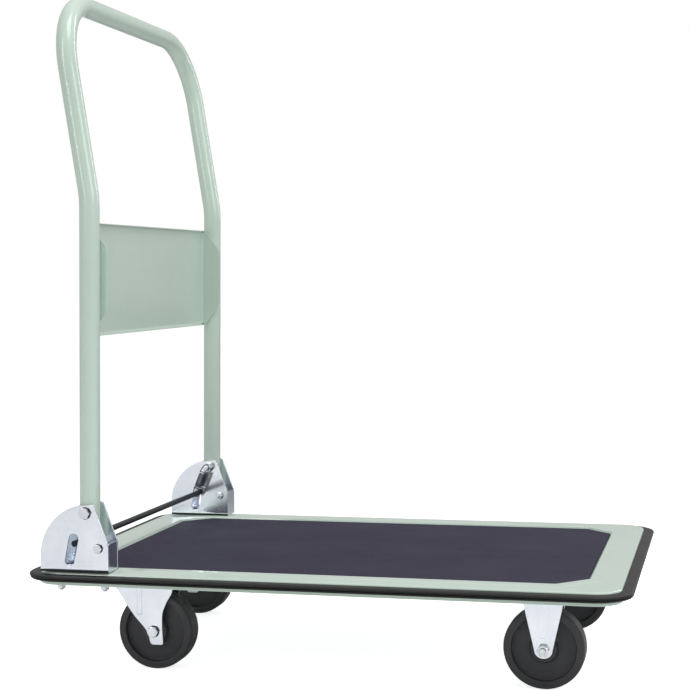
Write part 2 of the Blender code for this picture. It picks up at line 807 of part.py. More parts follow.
def build_axle(prefix, x, side, nut_outside):
    """Bush, bolt and nut that carry one wheel in its fork."""
    y = side * TRACK / 2
    z = WHEEL_D / 2
    half = FORK_GAP / 2
    inner = M8[0] / 2 + GAP
    start = (x, y - half + GAP, z)
    length = FORK_GAP - 2 * GAP
    collar(f"{prefix}_bush", start, (0, 1, 0), inner, BUSH_D / 2, length, "steel")
    head_side = -side if nut_outside else side
    face = half + FORK_SHEET + GAP
    head = (x, y + head_side * face, z)
    reach = 2 * face + M8[3] + 0.0030
    hex_bolt(f"{prefix}_bolt", head, (0, -head_side, 0), M8, reach)
    nut = (x, y - head_side * face, z)
    hex_nut(f"{prefix}_nut", nut, (0, -head_side, 0), M8)


def fork_channel(y, top, low):
    """Cross-section of a fork: flat crown and two legs."""
    half = FORK_GAP / 2 + FORK_SHEET
    inner = FORK_GAP / 2
    return [
        (y - half, low),
        (y - half, top - 0.002),
        (y - half + 0.002, top),
        (y + half - 0.002, top),
        (y + half, top - 0.002),
        (y + half, low),
        (y + inner, low),
        (y + inner, top - FORK_SHEET),
        (y - inner, top - FORK_SHEET),
        (y - inner, low),
    ]


def build_swivel_caster(label, side, trail):
    """Rear caster: plate, ball race, king pin, raked fork and wheel on the trailing side."""
    prefix = f"rear_{label}"
    y = side * TRACK / 2
    half_x = PLATE_LENGTH / 2
    half_y = PLATE_WIDTH / 2
    pin = KINGPIN_D / 2
    origin = (KINGPIN_X, y, CROWN_TOP)
    corners = [(-half_x, -half_y), (half_x, -half_y), (half_x, half_y), (-half_x, half_y)]
    outline = round_corners([(KINGPIN_X + u, y + v) for u, v in corners], 0.008)
    holes = [circle((KINGPIN_X, y), pin + GAP)]
    low = CASTER_TOP - CASTER_PLATE
    plate = prism(outline, holes, "Z", low, CASTER_TOP)
    finish_object(f"{prefix}_plate", plate, "zinc")
    race = [
        (0.0, pin + GAP, False),
        (0.0, RACE_D / 2 - 0.002, False),
        (-RACE_HEIGHT * 0.4, RACE_D / 2, False),
        (-RACE_HEIGHT, RACE_D / 2 - 0.004, False),
        (-RACE_HEIGHT, pin + GAP, False),
    ]
    race_body = turned(race, (KINGPIN_X, y, RACE_TOP), (0, 0, 1), True, 28)
    finish_object(f"{prefix}_race", race_body, "zinc")
    pin_low = CROWN_TOP - FORK_SHEET - GAP
    pin_high = CASTER_TOP + GAP
    stations = [
        (pin_low - 0.0040, 0.0065, False),
        (pin_low - 0.0030, 0.0080, False),
        (pin_low, 0.0080, False),
        (pin_low, pin, False),
        (pin_high, pin, False),
        (pin_high, 0.0090, False),
        (pin_high + 0.0014, 0.0090, False),
        (pin_high + 0.0020, 0.0078, False),
    ]
    pin_body = turned(stations, (KINGPIN_X, y, 0.0), (0, 0, 1), False)
    finish_object(f"{prefix}_kingpin", pin_body, "steel")
    flip = 1 if trail > 0 else -1
    axle = abs(trail)
    z = WHEEL_D / 2
    side_view = [
        (-0.0290, CROWN_TOP + 0.002),
        (0.0550, CROWN_TOP + 0.002),
        (0.0550, z + 0.0500),
        (axle + 0.0190, z + 0.0400),
        (axle + 0.0120, z + 0.0240),
        (axle + 0.0115, z + 0.0060),
        (axle + 0.0130, z - 0.0154),
        (axle + 0.0095, z - 0.0160),
        (axle + 0.0090, z - 0.0190),
        (axle + 0.0030, z - 0.0190),
        (axle + 0.0022, z - 0.0168),
        (axle - 0.0043, z - 0.0174),
        (axle - 0.0082, z - 0.0002),
        (axle - 0.0260, z + 0.0190),
        (axle - 0.0360, z + 0.0330),
        (-0.0190, z + 0.0520),
        (-0.0290, CROWN_TOP - 0.0050),
    ]
    view = [(KINGPIN_X + flip * u, v) for u, v in side_view]
    wheel_x = KINGPIN_X + trail
    body = prism(fork_channel(y, CROWN_TOP, z - 0.03), [], "X", KINGPIN_X - 0.08, KINGPIN_X + 0.08)
    fork = finish_object(f"{prefix}_fork", body, "zinc", origin)
    holes = [circle((wheel_x, z), M8[0] / 2 + GAP)]
    reach = FORK_GAP
    shape = prism(view, holes, "Y", y - reach, y + reach)
    modify(fork, finish_object(f"tool_{prefix}_fork", shape, "steel"), "INTERSECT")
    crown = (KINGPIN_X, y, CROWN_TOP)
    drill(fork, f"tool_{prefix}_crown", crown, (0, 0, 1), pin + GAP, 0.012)
    build_wheel(f"{prefix}_wheel", wheel_x, y)
    build_axle(f"{prefix}_axle", wheel_x, side, False)


def build_fixed_caster(label, side):
    """Front caster: top plate and straight tapered fork in one piece."""
    prefix = f"front_{label}"
    y = side * TRACK / 2
    z = WHEEL_D / 2
    half_x = PLATE_LENGTH / 2
    half_y = PLATE_WIDTH / 2
    corners = [(-half_x, -half_y), (half_x, -half_y), (half_x, half_y), (-half_x, half_y)]
    outline = round_corners([(FRONT_X + u, y + v) for u, v in corners], 0.008)
    plate = prism(outline, [], "Z", CASTER_TOP - CASTER_PLATE, CASTER_TOP)
    bracket = finish_object(f"{prefix}_bracket", plate, "zinc")
    half_view = [(0.0400, CASTER_TOP), (0.0290, CASTER_TOP - 0.0110), (0.0234, z + 0.0540)]
    half_view += [(0.0225, z + 0.0480), (0.0112, z - 0.0010), (0.0085, z - 0.0080)]
    right = [(FRONT_X + u, v) for u, v in half_view]
    left = [(FRONT_X - u, v) for u, v in reversed(half_view)]
    view = right + [(FRONT_X, z - 0.0110)] + left
    channel = fork_channel(y, CASTER_TOP - 0.0008, z - 0.03)
    legs = prism(channel, [], "X", FRONT_X - 0.05, FRONT_X + 0.05)
    legs = finish_object(f"tool_{prefix}_legs", legs, "zinc")
    holes = [circle((FRONT_X, z), M8[0] / 2 + GAP)]
    shape = prism(view, holes, "Y", y - FORK_GAP, y + FORK_GAP)
    modify(legs, finish_object(f"tool_{prefix}_view", shape, "steel"), "INTERSECT")
    modify(bracket, legs, "UNION")
    build_wheel(f"{prefix}_wheel", FRONT_X, y)
    build_axle(f"{prefix}_axle", FRONT_X, side, True)


def main():
    clear_scene()
    build_deck()
    build_mat()
    build_bumper()
    build_members()
    for label, side in SIDES:
        build_pad(label, side)
        build_bracket(label, side)
        build_hinge_bolts(label, side)
        build_spring(label, side)
        build_fixed_caster(label, side)
    build_handle()
    build_latch()
    build_swivel_caster("near", -1, TRAIL)
    build_swivel_caster("far", 1, -TRAIL)


main()
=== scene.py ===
"""Folding platform cart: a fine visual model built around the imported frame."""

import json
import logging
import math
import random
from dataclasses import dataclass
from enum import Enum
from typing import Callable, Iterable, Sequence

import bmesh
import bpy
from mathutils import Matrix, Vector

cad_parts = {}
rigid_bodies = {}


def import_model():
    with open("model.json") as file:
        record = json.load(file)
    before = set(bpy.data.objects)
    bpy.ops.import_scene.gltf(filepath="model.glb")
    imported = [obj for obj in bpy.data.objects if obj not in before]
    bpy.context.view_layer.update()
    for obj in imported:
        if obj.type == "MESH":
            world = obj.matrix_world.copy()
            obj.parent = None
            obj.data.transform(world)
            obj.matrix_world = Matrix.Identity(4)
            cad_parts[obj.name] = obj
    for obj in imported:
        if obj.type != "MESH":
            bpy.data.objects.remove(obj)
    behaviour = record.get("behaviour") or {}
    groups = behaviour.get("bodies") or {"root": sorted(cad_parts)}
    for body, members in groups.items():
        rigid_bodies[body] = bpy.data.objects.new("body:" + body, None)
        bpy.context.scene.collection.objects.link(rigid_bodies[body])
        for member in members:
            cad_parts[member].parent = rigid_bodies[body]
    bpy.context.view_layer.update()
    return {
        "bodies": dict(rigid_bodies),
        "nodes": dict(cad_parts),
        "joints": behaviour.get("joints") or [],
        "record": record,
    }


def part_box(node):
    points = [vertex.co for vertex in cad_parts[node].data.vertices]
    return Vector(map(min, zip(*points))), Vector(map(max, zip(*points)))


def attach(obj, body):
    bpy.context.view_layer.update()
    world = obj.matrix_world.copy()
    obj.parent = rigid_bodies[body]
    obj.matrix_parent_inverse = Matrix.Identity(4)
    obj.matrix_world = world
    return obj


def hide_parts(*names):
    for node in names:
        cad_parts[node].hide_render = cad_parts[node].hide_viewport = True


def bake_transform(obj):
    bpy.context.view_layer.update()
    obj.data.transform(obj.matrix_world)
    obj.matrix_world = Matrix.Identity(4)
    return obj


Point = tuple[float, float]
Corner = tuple[float, ...]
Spot = tuple[float, float, float]
Outline = Sequence[Point]
Place = Callable[[float, float, float], Vector]
Mesh = bmesh.types.BMesh
Socket = bpy.types.NodeSocket
Tree = bpy.types.NodeTree

LOG = logging.getLogger("cart")
GAP = 0.0003  # left between neighbouring pieces
WELD = 0.00002  # points of a mesh nearer than this are one
ACROSS = Vector((0, 1, 0))
UP = Vector((0, 0, 1))
DOWN = -UP
WHITE = (1.0, 1.0, 1.0, 1.0)


class Side(Enum):
    """Side of the cart, and the sign of Y there."""

    NEAR = -1
    FAR = 1

    @property
    def label(self) -> str:
        """Word used in piece names."""
        return self.name.lower()


class Slot(Enum):
    """Material slots of the record."""

    PAINT = "frame_paint"
    MAT = "mat_vinyl"
    BUMPER = "bumper_rubber"
    SHEET = "bright_zinc"
    FASTENER = "fastener_zinc"
    STEEL = "dark_steel"
    WHEEL = "wheel_moulding"


def linear(code: str) -> tuple[float, ...]:
    """Turn a hex colour into linear values.

    Args:
        code: Six hex digits, such as "C0FFEE".

    Returns:
        Red, green and blue in linear light, and full opacity.
    """
    parts = [int(code[i : i + 2], 16) / 255 for i in (0, 2, 4)]
    values = [p / 12.92 if p <= 0.04045 else ((p + 0.055) / 1.055) ** 2.4 for p in parts]
    return (*values, 1.0)


# ---------------------------------------------------------------- shader node tools


class NodeBook:
    """Short hand for laying out one node tree."""

    def __init__(self, tree: Tree) -> None:
        """Keep the tree to work on."""
        self.tree = tree

    def fill(self, node: bpy.types.Node, inputs: dict) -> None:
        """Fill or link a node's inputs.

        Args:
            node: The node.
            inputs: Values or output sockets by input name or index.
        """
        for key, value in inputs.items():
            if isinstance(value, Socket):
                self.tree.links.new(value, node.inputs[key])
            else:
                node.inputs[key].default_value = value

    def add(self, kind: str, inputs: dict | None = None, **props: object) -> bpy.types.Node:
        """Add a node.

        Args:
            kind: Node type.
            inputs: Values or output sockets by input name or index.
            props: Properties of the node.

        Returns:
            The new node.
        """
        node = self.tree.nodes.new(kind)
        for key, value in props.items():
            setattr(node, key, value)
        self.fill(node, inputs or {})
        return node

    def math(self, operation: str, *values: object, clamp: bool = False) -> Socket:
        """Add a Math node for up to three values and return its output."""
        inputs = dict(enumerate(values))
        return self.add("ShaderNodeMath", inputs, operation=operation, use_clamp=clamp).outputs[0]

    def ramp(self, value: object, low: float, high: float, first: float = 0.0, last: float = 1.0) -> Socket:
        """Add a clamped Map Range node and return its output."""
        inputs = {"Value": value, "From Min": low, "From Max": high, "To Min": first, "To Max": last}
        return self.add("ShaderNodeMapRange", inputs).outputs[0]

    def mix(self, factor: object, first: object, second: object) -> Socket:
        """Mix two colours and return the result."""
        inputs = {0: factor, 6: first, 7: second}
        return self.add("ShaderNodeMix", inputs, data_type="RGBA").outputs[2]

    def noise(self, vector: object, scale: object, detail: float = 3.0, rough: float = 0.55) -> Socket:
        """Add a noise texture and return its value."""
        inputs = {"Vector": vector, "Scale": scale, "Detail": detail, "Roughness": rough}
        return self.add("ShaderNodeTexNoise", inputs).outputs[0]

    def effect(self, tree: Tree, place: Socket, **values: float) -> Socket:
        """Place a shared group and return its output."""
        return self.add("ShaderNodeGroup", {"Position": place, **values}, node_tree=tree).outputs[0]


class GroupBook(NodeBook):
    """Shader node group that takes a position and some numbers, and gives one value."""

    def __init__(self, name: str, output: str, **inputs: float) -> None:
        """Start the group.

        Args:
            name: Name of the group.
            output: Name of its output.
            inputs: Its numbers with their first values.
        """
        super().__init__(bpy.data.node_groups.new(name, "ShaderNodeTree"))
        face = self.tree.interface
        face.new_socket("Position", in_out="INPUT", socket_type="NodeSocketVector")
        for key, value in inputs.items():
            face.new_socket(key, in_out="INPUT", socket_type="NodeSocketFloat").default_value = value
        face.new_socket(output, in_out="OUTPUT", socket_type="NodeSocketFloat")
        self.given = self.add("NodeGroupInput").outputs
        self.place, self.scale = self.given["Position"], self.given["Scale"]
        self.end = self.add("NodeGroupOutput")

    def close(self, value: Socket) -> Tree:
        """Send a value out and return the group."""
        self.fill(self.end, {0: value})
        return self.tree


class Effects:
    """Surface effects that several finishes share, each a node group built once."""

    def __init__(self) -> None:
        """Build every group."""
        self.mottle = self._mottle()
        self.wear = self._wear()
        self.dust = self._dust()
        self.peel = self._peel()
        self.brushed = self._brushed()

    @staticmethod
    def _mottle() -> Tree:
        """Slow cloudy variation.

        Returns:
            The group, which gives 0 to 1.
        """
        book = GroupBook("cloudy_tone", "Tone", Scale=6.0)
        wide = book.noise(book.place, book.scale, 2.0)
        fine = book.noise(book.place, book.math("MULTIPLY", book.scale, 9.0))
        return book.close(book.ramp(book.math("MULTIPLY_ADD", fine, 0.35, wide), 0.45, 0.9))

    @staticmethod
    def _wear() -> Tree:
        """Rubbed edges: where the surface turns sharply outwards, broken up by noise.

        Returns:
            The group, which gives how far the edge is rubbed.
        """
        book = GroupBook("edge_rub", "Rub", Scale=60.0, Reach=0.5)
        sharp = book.add("ShaderNodeNewGeometry").outputs["Pointiness"]
        patch = book.noise(book.place, book.scale, 4.0)
        broken = book.math("MULTIPLY", book.ramp(sharp, 0.62, 0.80), book.ramp(patch, 0.35, 0.7))
        return book.close(book.math("MULTIPLY", broken, book.given["Reach"], clamp=True))

    @staticmethod
    def _dust() -> Tree:
        """Fine settled dust on faces that look up.

        Returns:
            The group, which gives how thick the dust lies.
        """
        book = GroupBook("settled_dust", "Dust", Scale=40.0, Amount=0.2)
        normal = book.add("ShaderNodeNewGeometry").outputs["Normal"]
        up = book.add("ShaderNodeSeparateXYZ", {0: normal}).outputs[2]
        patch = book.noise(book.place, book.scale, 5.0)
        lying = book.math("MULTIPLY", book.ramp(up, 0.2, 1.0), book.ramp(patch, 0.35, 0.75))
        return book.close(book.math("MULTIPLY", lying, book.given["Amount"], clamp=True))

    @staticmethod
    def _peel() -> Tree:
        """Soft pebbled height of a sprayed or moulded skin.

        Returns:
            The group, which gives a height.
        """
        book = GroupBook("pebbled_skin", "Height", Scale=700.0)
        coarse = book.noise(book.place, book.scale, 2.0, 0.4)
        fine = book.noise(book.place, book.math("MULTIPLY", book.scale, 3.1), 2.0)
        return book.close(book.math("MULTIPLY_ADD", fine, 0.4, coarse))

    @staticmethod
    def _brushed() -> Tree:
        """Drawn lines of rolled sheet, long in X and fine across.

        Returns:
            The group, which gives 0 to 1.
        """
        book = GroupBook("rolled_lines", "Lines", Scale=30.0)
        stretch = {"Vector": book.place, "Scale": (1.0, 14.0, 22.0)}
        return book.close(book.noise(book.add("ShaderNodeMapping", stretch).outputs[0], book.scale, 4.0))


@dataclass(frozen=True)
class Finish:
    """One finish: two tones, gloss and the shared effects that go on it."""

    name: str
    light: str
    dark: str
    roughness: float
    metallic: float = 0.0
    rough_spread: float = 0.08
    tone_scale: float = 6.0
    rub_colour: str = "DDDDDD"
    rub: float = 0.3
    dust_colour: str = "B8B2A6"
    dust: float = 0.0
    dust_roughness: float = 0.4
    grain_scale: float = 700.0
    grain: float = 0.05
    grain_depth: float = 0.0006
    lines: float = 0.0
    coat: float = 0.0
    coat_roughness: float = 0.07
    specular: float = 0.5

    def build(self, effects: Effects) -> bpy.types.Material:
        """Make the material.

        Args:
            effects: Shared node groups.

        Returns:
            The finished material.
        """
        mat = bpy.data.materials.new(self.name)
        mat.use_nodes = True
        mat.diffuse_color = linear(self.light)
        book = NodeBook(mat.node_tree)
        place = book.add("ShaderNodeTexCoord").outputs["Object"]
        tone = book.effect(effects.mottle, place, Scale=self.tone_scale)
        colour = book.mix(tone, linear(self.dark), linear(self.light))
        rough = book.ramp(tone, 0.0, 1.0, self.roughness + self.rough_spread, self.roughness)
        height = book.effect(effects.peel, place, Scale=self.grain_scale)
        colour, height = self.pattern(book, place, colour, height)
        if self.lines:
            lines = book.ramp(book.effect(effects.brushed, place), 0.3, 0.7, -self.lines, self.lines)
            rough = book.math("ADD", rough, lines, clamp=True)
        rub = book.effect(effects.wear, place, Reach=self.rub)
        colour = book.mix(rub, colour, linear(self.rub_colour))
        if self.dust:
            dust = book.effect(effects.dust, place, Amount=self.dust)
            colour = book.mix(dust, colour, linear(self.dust_colour))
            rough = book.math("MULTIPLY_ADD", dust, self.dust_roughness, rough)
        grain = {"Height": height, "Strength": self.grain, "Distance": self.grain_depth}
        inputs = {
            "Base Color": colour, "Roughness": rough, "Normal": book.add("ShaderNodeBump", grain).outputs[0],
            "Metallic": self.metallic, "Specular IOR Level": self.specular,
            "Coat Weight": self.coat, "Coat Roughness": self.coat_roughness,
        }
        book.fill(mat.node_tree.nodes["Principled BSDF"], inputs)
        return mat

    def pattern(self, book: NodeBook, place: Socket, colour: Socket, height: Socket) -> tuple:
        """Hook for a finish with a pattern of its own; a plain one has none."""
        return colour, height


@dataclass(frozen=True)
class EmbossedVinyl(Finish):
    """Mat with a fine pressed diamond weave."""

    pitch: float = 0.0036
    slant: float = 0.8
    crispness: float = 3.0
    top_colour: str = "322E4A"
    top_share: float = 0.55
    skin_share: float = 0.15

    def pattern(self, book: NodeBook, place: Socket, colour: Socket, height: Socket) -> tuple:
        """Press slanted ridges both ways and lighten their tops.

        Args:
            book: Node tree of the material.
            place: Position on the piece.
            colour: Colour so far.
            height: Skin height so far.

        Returns:
            Colour and height with the weave.
        """
        parts = book.add("ShaderNodeSeparateXYZ", {0: place}).outputs
        ridges = []
        for way in (self.slant, -self.slant):
            line = book.math("MULTIPLY_ADD", parts[1], way, parts[0])
            wave = book.math("SINE", book.math("MULTIPLY", line, math.pi / self.pitch))
            ridges.append(book.math("ABSOLUTE", wave))
        weave = book.math("POWER", book.math("MAXIMUM", *ridges), self.crispness)
        top = book.math("MULTIPLY", weave, self.top_share)
        colour = book.mix(top, colour, linear(self.top_colour))
        return colour, book.math("MULTIPLY_ADD", height, self.skin_share, weave)


FINISHES = {
    Slot.PAINT: Finish(
        "mint_enamel", "C3D6C9", "BDD1C3", 0.32, rub_colour="D6E2D9", rub=0.2,
        dust=0.06, dust_colour="D6D8D0", grain_scale=420.0, grain=0.05, coat=0.8,
    ),
    Slot.MAT: EmbossedVinyl(
        "embossed_vinyl", "1D1930", "181528", 0.62, tone_scale=9.0, rub_colour="5A5670",
        rub=0.3, dust=0.05, dust_colour="55526A", grain_scale=900.0, grain=0.55, specular=0.22,
    ),
    Slot.BUMPER: Finish(
        "edge_rubber", "0E1211", "0A0D0C", 0.42, tone_scale=14.0, rub_colour="4A4F4D",
        rub=0.2, dust=0.03, grain_scale=1100.0, grain=0.15, specular=0.3,
    ),
    Slot.SHEET: Finish(
        "plated_sheet", "EEF2F8", "DDE3EC", 0.13, metallic=1.0, tone_scale=22.0,
        rub_colour="F4F6FA", rub=0.2, rough_spread=0.05, lines=0.03, grain_scale=260.0, grain=0.05,
    ),
    Slot.FASTENER: Finish(
        "plated_hardware", "E6E8EC", "D2D6DD", 0.16, metallic=1.0, tone_scale=70.0,
        rub_colour="F2F2F4", rub=0.4, grain_scale=900.0, grain=0.06,
    ),
    Slot.STEEL: Finish(
        "dark_spring_steel", "3C4046", "2B2D32", 0.30, metallic=1.0, tone_scale=60.0,
        rub_colour="9A9EA2", rub=0.4, grain_scale=800.0, grain=0.08,
    ),
    Slot.WHEEL: Finish(
        "wheel_moulding", "3B3B3E", "323236", 0.46, tone_scale=18.0, rub_colour="6B6B6E",
        rub=0.4, dust=0.06, dust_colour="8C8981", grain_scale=1000.0, grain=0.12, specular=0.45,
    ),
}


# ---------------------------------------------------------------- mesh tools


def fill(outline: Outline, holes: Iterable[Outline]) -> Mesh:
    """Fill a flat outline with holes.

    Args:
        outline: Corner points in order.
        holes: Hole outlines.

    Returns:
        A flat mesh in its own XY plane.
    """
    bm = bmesh.new()
    edges = []
    for ring in [outline, *holes]:
        verts = [bm.verts.new((u, v, 0.0)) for u, v in ring]
        edges += [bm.edges.new((vert, verts[(i + 1) % len(verts)])) for i, vert in enumerate(verts)]
    bmesh.ops.triangle_fill(bm, use_beauty=True, edges=edges)
    return bm


def thicken(bm: Mesh) -> Mesh:
    """Give a flat mesh a second face at height one, with walls between.

    Args:
        bm: The flat mesh.

    Returns:
        The same mesh, now a solid.
    """
    grown = bmesh.ops.extrude_face_region(bm, geom=list(bm.faces))["geom"]
    moved = [item for item in grown if isinstance(item, bmesh.types.BMVert)]
    bmesh.ops.translate(bm, verts=moved, vec=(0.0, 0.0, 1.0))
    return bm


def settle(bm: Mesh) -> Mesh:
    """Weld points that all but touch, merge flat faces and turn all normals out.

    Args:
        bm: The mesh.

    Returns:
        The same mesh.
    """
    bmesh.ops.remove_doubles(bm, verts=bm.verts, dist=WELD)
    bmesh.ops.dissolve_limit(bm, angle_limit=0.01, verts=bm.verts, edges=bm.edges)
    bmesh.ops.recalc_face_normals(bm, faces=bm.faces)
    return bm


def lay(axes: str, origin: Sequence[float] = (0.0, 0.0, 0.0), turned: str = "") -> Place:
    """Set a piece's own directions along the cart's.

    Args:
        axes: Cart axis of each of the piece's directions, such as "xzy".
        origin: Where all three are zero.
        turned: Cart axes that run backwards.

    Returns:
        A function that turns (u, v, w) into a point of the cart.
    """

    def place(u: float, v: float, w: float) -> Vector:
        """Turn one point."""
        given = {axis: -value if axis in turned else value for axis, value in zip(axes, (u, v, w))}
        return Vector([start + given[axis] for axis, start in zip("xyz", origin)])

    return place


def slab(outline: Outline, holes: Iterable[Outline], start: float, end: float, place: Place) -> Mesh:
    """Extrude an outline.

    Args:
        outline: Corner points.
        holes: Hole outlines.
        start: Distance of the first face.
        end: Distance of the second face.
        place: Turns (u, v, distance) into a point of the cart.

    Returns:
        The solid.
    """
    bm = thicken(fill(outline, holes))
    for vert in bm.verts:
        u, v, w = vert.co
        vert.co = place(u, v, start + (end - start) * w)
    return settle(bm)


@dataclass(frozen=True)
class Fold:
    """Channel bent from sheet: a flat base and two legs square to it."""

    half_width: float
    radius: float
    thickness: float
    steps: int = 6

    @property
    def flat(self) -> float:
        """Half width of the base up to its bend."""
        return self.half_width - self.radius

    @property
    def arc(self) -> float:
        """Length of sheet in one bend."""
        return self.radius * math.pi / 2

    def along(self, rise: float) -> float:
        """Distance along the sheet at which a leg stands this far from the base."""
        return self.flat + self.arc + rise - self.radius

    def at(self, distance: float, depth: float) -> Point:
        """Find a point of the bent sheet.

        Args:
            distance: Distance along the sheet from the middle of the base.
            depth: Distance below the outer face.

        Returns:
            Distance across the channel and rise from the base.
        """
        side = 1.0 if distance >= 0 else -1.0
        reach = abs(distance)
        if reach <= self.flat:
            return distance, depth
        if reach < self.flat + self.arc:
            angle = (reach - self.flat) / self.radius
            inner = self.radius - depth
            return side * (self.flat + inner * math.sin(angle)), self.radius - inner * math.cos(angle)
        return side * (self.half_width - depth), self.radius + reach - self.flat - self.arc

    def bend(
        self, leg: Outline, holes: Iterable[Outline], place: Place, base_holes: Iterable[Outline] = ()
    ) -> Mesh:
        """Cut a flat blank and bend it.

        Args:
            leg: Side view of a leg as (along, rise), from one end of the base to the other.
            holes: Holes through both legs as (along, rise).
            place: Turns (along, across, rise) into a point of the cart.
            base_holes: Holes through the base as (along, across).

        Returns:
            The bent sheet.
        """
        blank = [(u, self.along(v)) for u, v in leg]
        blank += [(u, -v) for u, v in reversed(blank)]
        cuts = []
        for hole in holes:
            cuts.append([(u, self.along(v)) for u, v in hole])
            cuts.append([(u, -self.along(v)) for u, v in hole])
        cuts += list(base_holes)
        bm = fill(blank, cuts)
        for side in (-1.0, 1.0):
            for i in range(self.steps + 1):
                line = side * (self.flat + self.arc * i / self.steps)
                geometry = bm.verts[:] + bm.edges[:] + bm.faces[:]
                bmesh.ops.bisect_plane(bm, geom=geometry, plane_co=(0, line, 0), plane_no=(0, 1, 0))
        thicken(bm)
        for vert in bm.verts:
            across, rise = self.at(vert.co.y, vert.co.z * self.thickness)
            vert.co = place(vert.co.x, across, rise)
        return settle(bm)


def loft(loops: Sequence[Sequence[Vector]], closed: bool) -> Mesh:
    """Join equal loops with quads.

    Args:
        loops: Rings of points.
        closed: Whether the last ring joins the first; if not, both ends are capped.

    Returns:
        The lofted solid.
    """
    bm = bmesh.new()
    rows = [[bm.verts.new(point) for point in loop] for loop in loops]
    count = len(rows[0])
    pairs = list(zip(rows, rows[1:])) + ([(rows[-1], rows[0])] if closed else [])
    for low, high in pairs:
        for i in range(count):
            j = (i + 1) % count
            bm.faces.new((low[i], low[j], high[j], high[i]))
    if not closed:
        bm.faces.new(rows[0])
        bm.faces.new(rows[-1])
    bmesh.ops.recalc_face_normals(bm, faces=bm.faces)
    return bm


def span(axis: Vector) -> tuple[Vector, Vector]:
    """Find two directions across an axis.

    Args:
        axis: Unit vector.

    Returns:
        Two unit vectors, square to it and to each other.
    """
    start = Vector((1, 0, 0)) if abs(axis.x) < 0.9 else UP
    first = (start - axis * start.dot(axis)).normalized()
    return first, axis.cross(first)


def ring(centre: Vector, axis: Vector, radii: Sequence[float]) -> list[Vector]:
    """Points round an axis.

    Args:
        centre: Centre of the ring.
        axis: Unit vector.
        radii: Radius at each of the equal steps round it.

    Returns:
        One point for each radius.
    """
    first, second = span(axis)
    turns = [2 * math.pi * i / len(radii) for i in range(len(radii))]
    return [centre + (first * math.cos(t) + second * math.sin(t)) * r for t, r in zip(turns, radii)]


def lathe(profile: Outline, origin: Vector, axis: Vector, closed: bool = False, segments: int = 48) -> Mesh:
    """Turn a profile about an axis.

    Args:
        profile: Points as (along, radius).
        origin: Point on the axis where along is zero.
        axis: Direction of the axis.
        closed: Whether the profile is a ring in itself, as for a bored piece.
        segments: Points round the axis.

    Returns:
        The turned solid.
    """
    axis = Vector(axis).normalized()
    loops = [ring(origin + axis * along, axis, [radius] * segments) for along, radius in profile]
    return loft(loops, closed)


def hexagon(
    flats: float, low: float, high: float, origin: Vector, axis: Vector, bore: float = 0.0, both: bool = False
) -> Mesh:
    """Hexagon head or nut whose corners are chamfered by a cone.

    Args:
        flats: Width across flats.
        low: Start along the axis.
        high: End along the axis, chamfered.
        origin: Point on the axis.
        axis: Direction of the axis.
        bore: Hole radius, or zero for none.
        both: Whether the low end is chamfered too.

    Returns:
        The solid.
    """
    axis = Vector(axis).normalized()
    corner, count, chamfer = flats / math.sqrt(3), 48, 0.2
    parts = [2 * math.pi * i / count % (math.pi / 3) - math.pi / 6 for i in range(count)]
    loops = []
    for share in (0.0, 0.05, 0.12, chamfer, 0.8, 0.88, 0.95, 1.0):
        trim = max(0.0, chamfer - min(share, 1 - share)) / chamfer if both or share > 0.5 else 0.0
        limit = corner - (corner - flats / 2 * 0.94) * trim**1.5
        radii = [min(flats / 2 / math.cos(part), limit) for part in parts]
        loops.append(ring(origin + axis * (low + (high - low) * share), axis, radii))
    if bore:
        rims = [ring(origin + axis * along, axis, [bore] * count) for along in (low, low + (high - low))]
        loops = [rims[0], *loops, rims[1]]
    return loft(loops, bool(bore))


def sweep(path: Sequence[Vector], radius: float, count: int, wall: float = 0.0) -> Mesh:
    """Carry a round section along a path.

    Args:
        path: Points of the centre line.
        radius: Outer radius.
        count: Points round the section.
        wall: Wall of an open pipe, or zero for a solid bar.

    Returns:
        The swept solid.
    """
    points = [Vector(p) for p in path]
    turns = [2 * math.pi * k / count for k in range(count)]
    frames = []
    across = None
    for i, point in enumerate(points):
        tangent = (points[min(i + 1, len(points) - 1)] - points[max(i - 1, 0)]).normalized()
        across = span(tangent)[0] if across is None else (across - tangent * across.dot(tangent)).normalized()
        frames.append((point, across, tangent.cross(across)))

    def rings(reach: float) -> list[list[Vector]]:
        """Rings of one radius along the path."""
        arms = [(reach, math.cos(t), math.sin(t)) for t in turns]
        return [[p + a * r * cosine + b * r * sine for r, cosine, sine in arms] for p, a, b in frames]

    if wall:
        return loft(rings(radius) + rings(radius - wall)[::-1], True)
    return loft(rings(radius), False)


def merge(parts: Iterable[Mesh]) -> Mesh:
    """Put several meshes into one.

    Args:
        parts: The meshes, which are used up.

    Returns:
        One mesh.
    """
    total = bmesh.new()
    for part in parts:
        mesh = bpy.data.meshes.new("part")
        part.to_mesh(mesh)
        part.free()
        total.from_mesh(mesh)
        bpy.data.meshes.remove(mesh)
    return total


def rectangle(x_low: float, x_high: float, y_low: float, y_high: float) -> list[Point]:
    """Corners of a rectangle."""
    return [(x_low, y_low), (x_high, y_low), (x_high, y_high), (x_low, y_high)]


def arc(centre: Point, radius: float, start: float, turn: float, steps: int) -> list[Point]:
    """Points of an arc.

    Args:
        centre: Its centre.
        radius: Its radius.
        start: First angle.
        turn: Angle it covers.
        steps: Number of steps in it.

    Returns:
        Points with both ends.
    """
    angles = [start + turn * i / steps for i in range(steps + 1)]
    return [(centre[0] + radius * math.cos(angle), centre[1] + radius * math.sin(angle)) for angle in angles]


def circle(centre: Point, radius: float, count: int = 32) -> list[Point]:
    """Points of a circle."""
    turns = [2 * math.pi * i / count for i in range(count)]
    return [(centre[0] + radius * math.cos(t), centre[1] + radius * math.sin(t)) for t in turns]


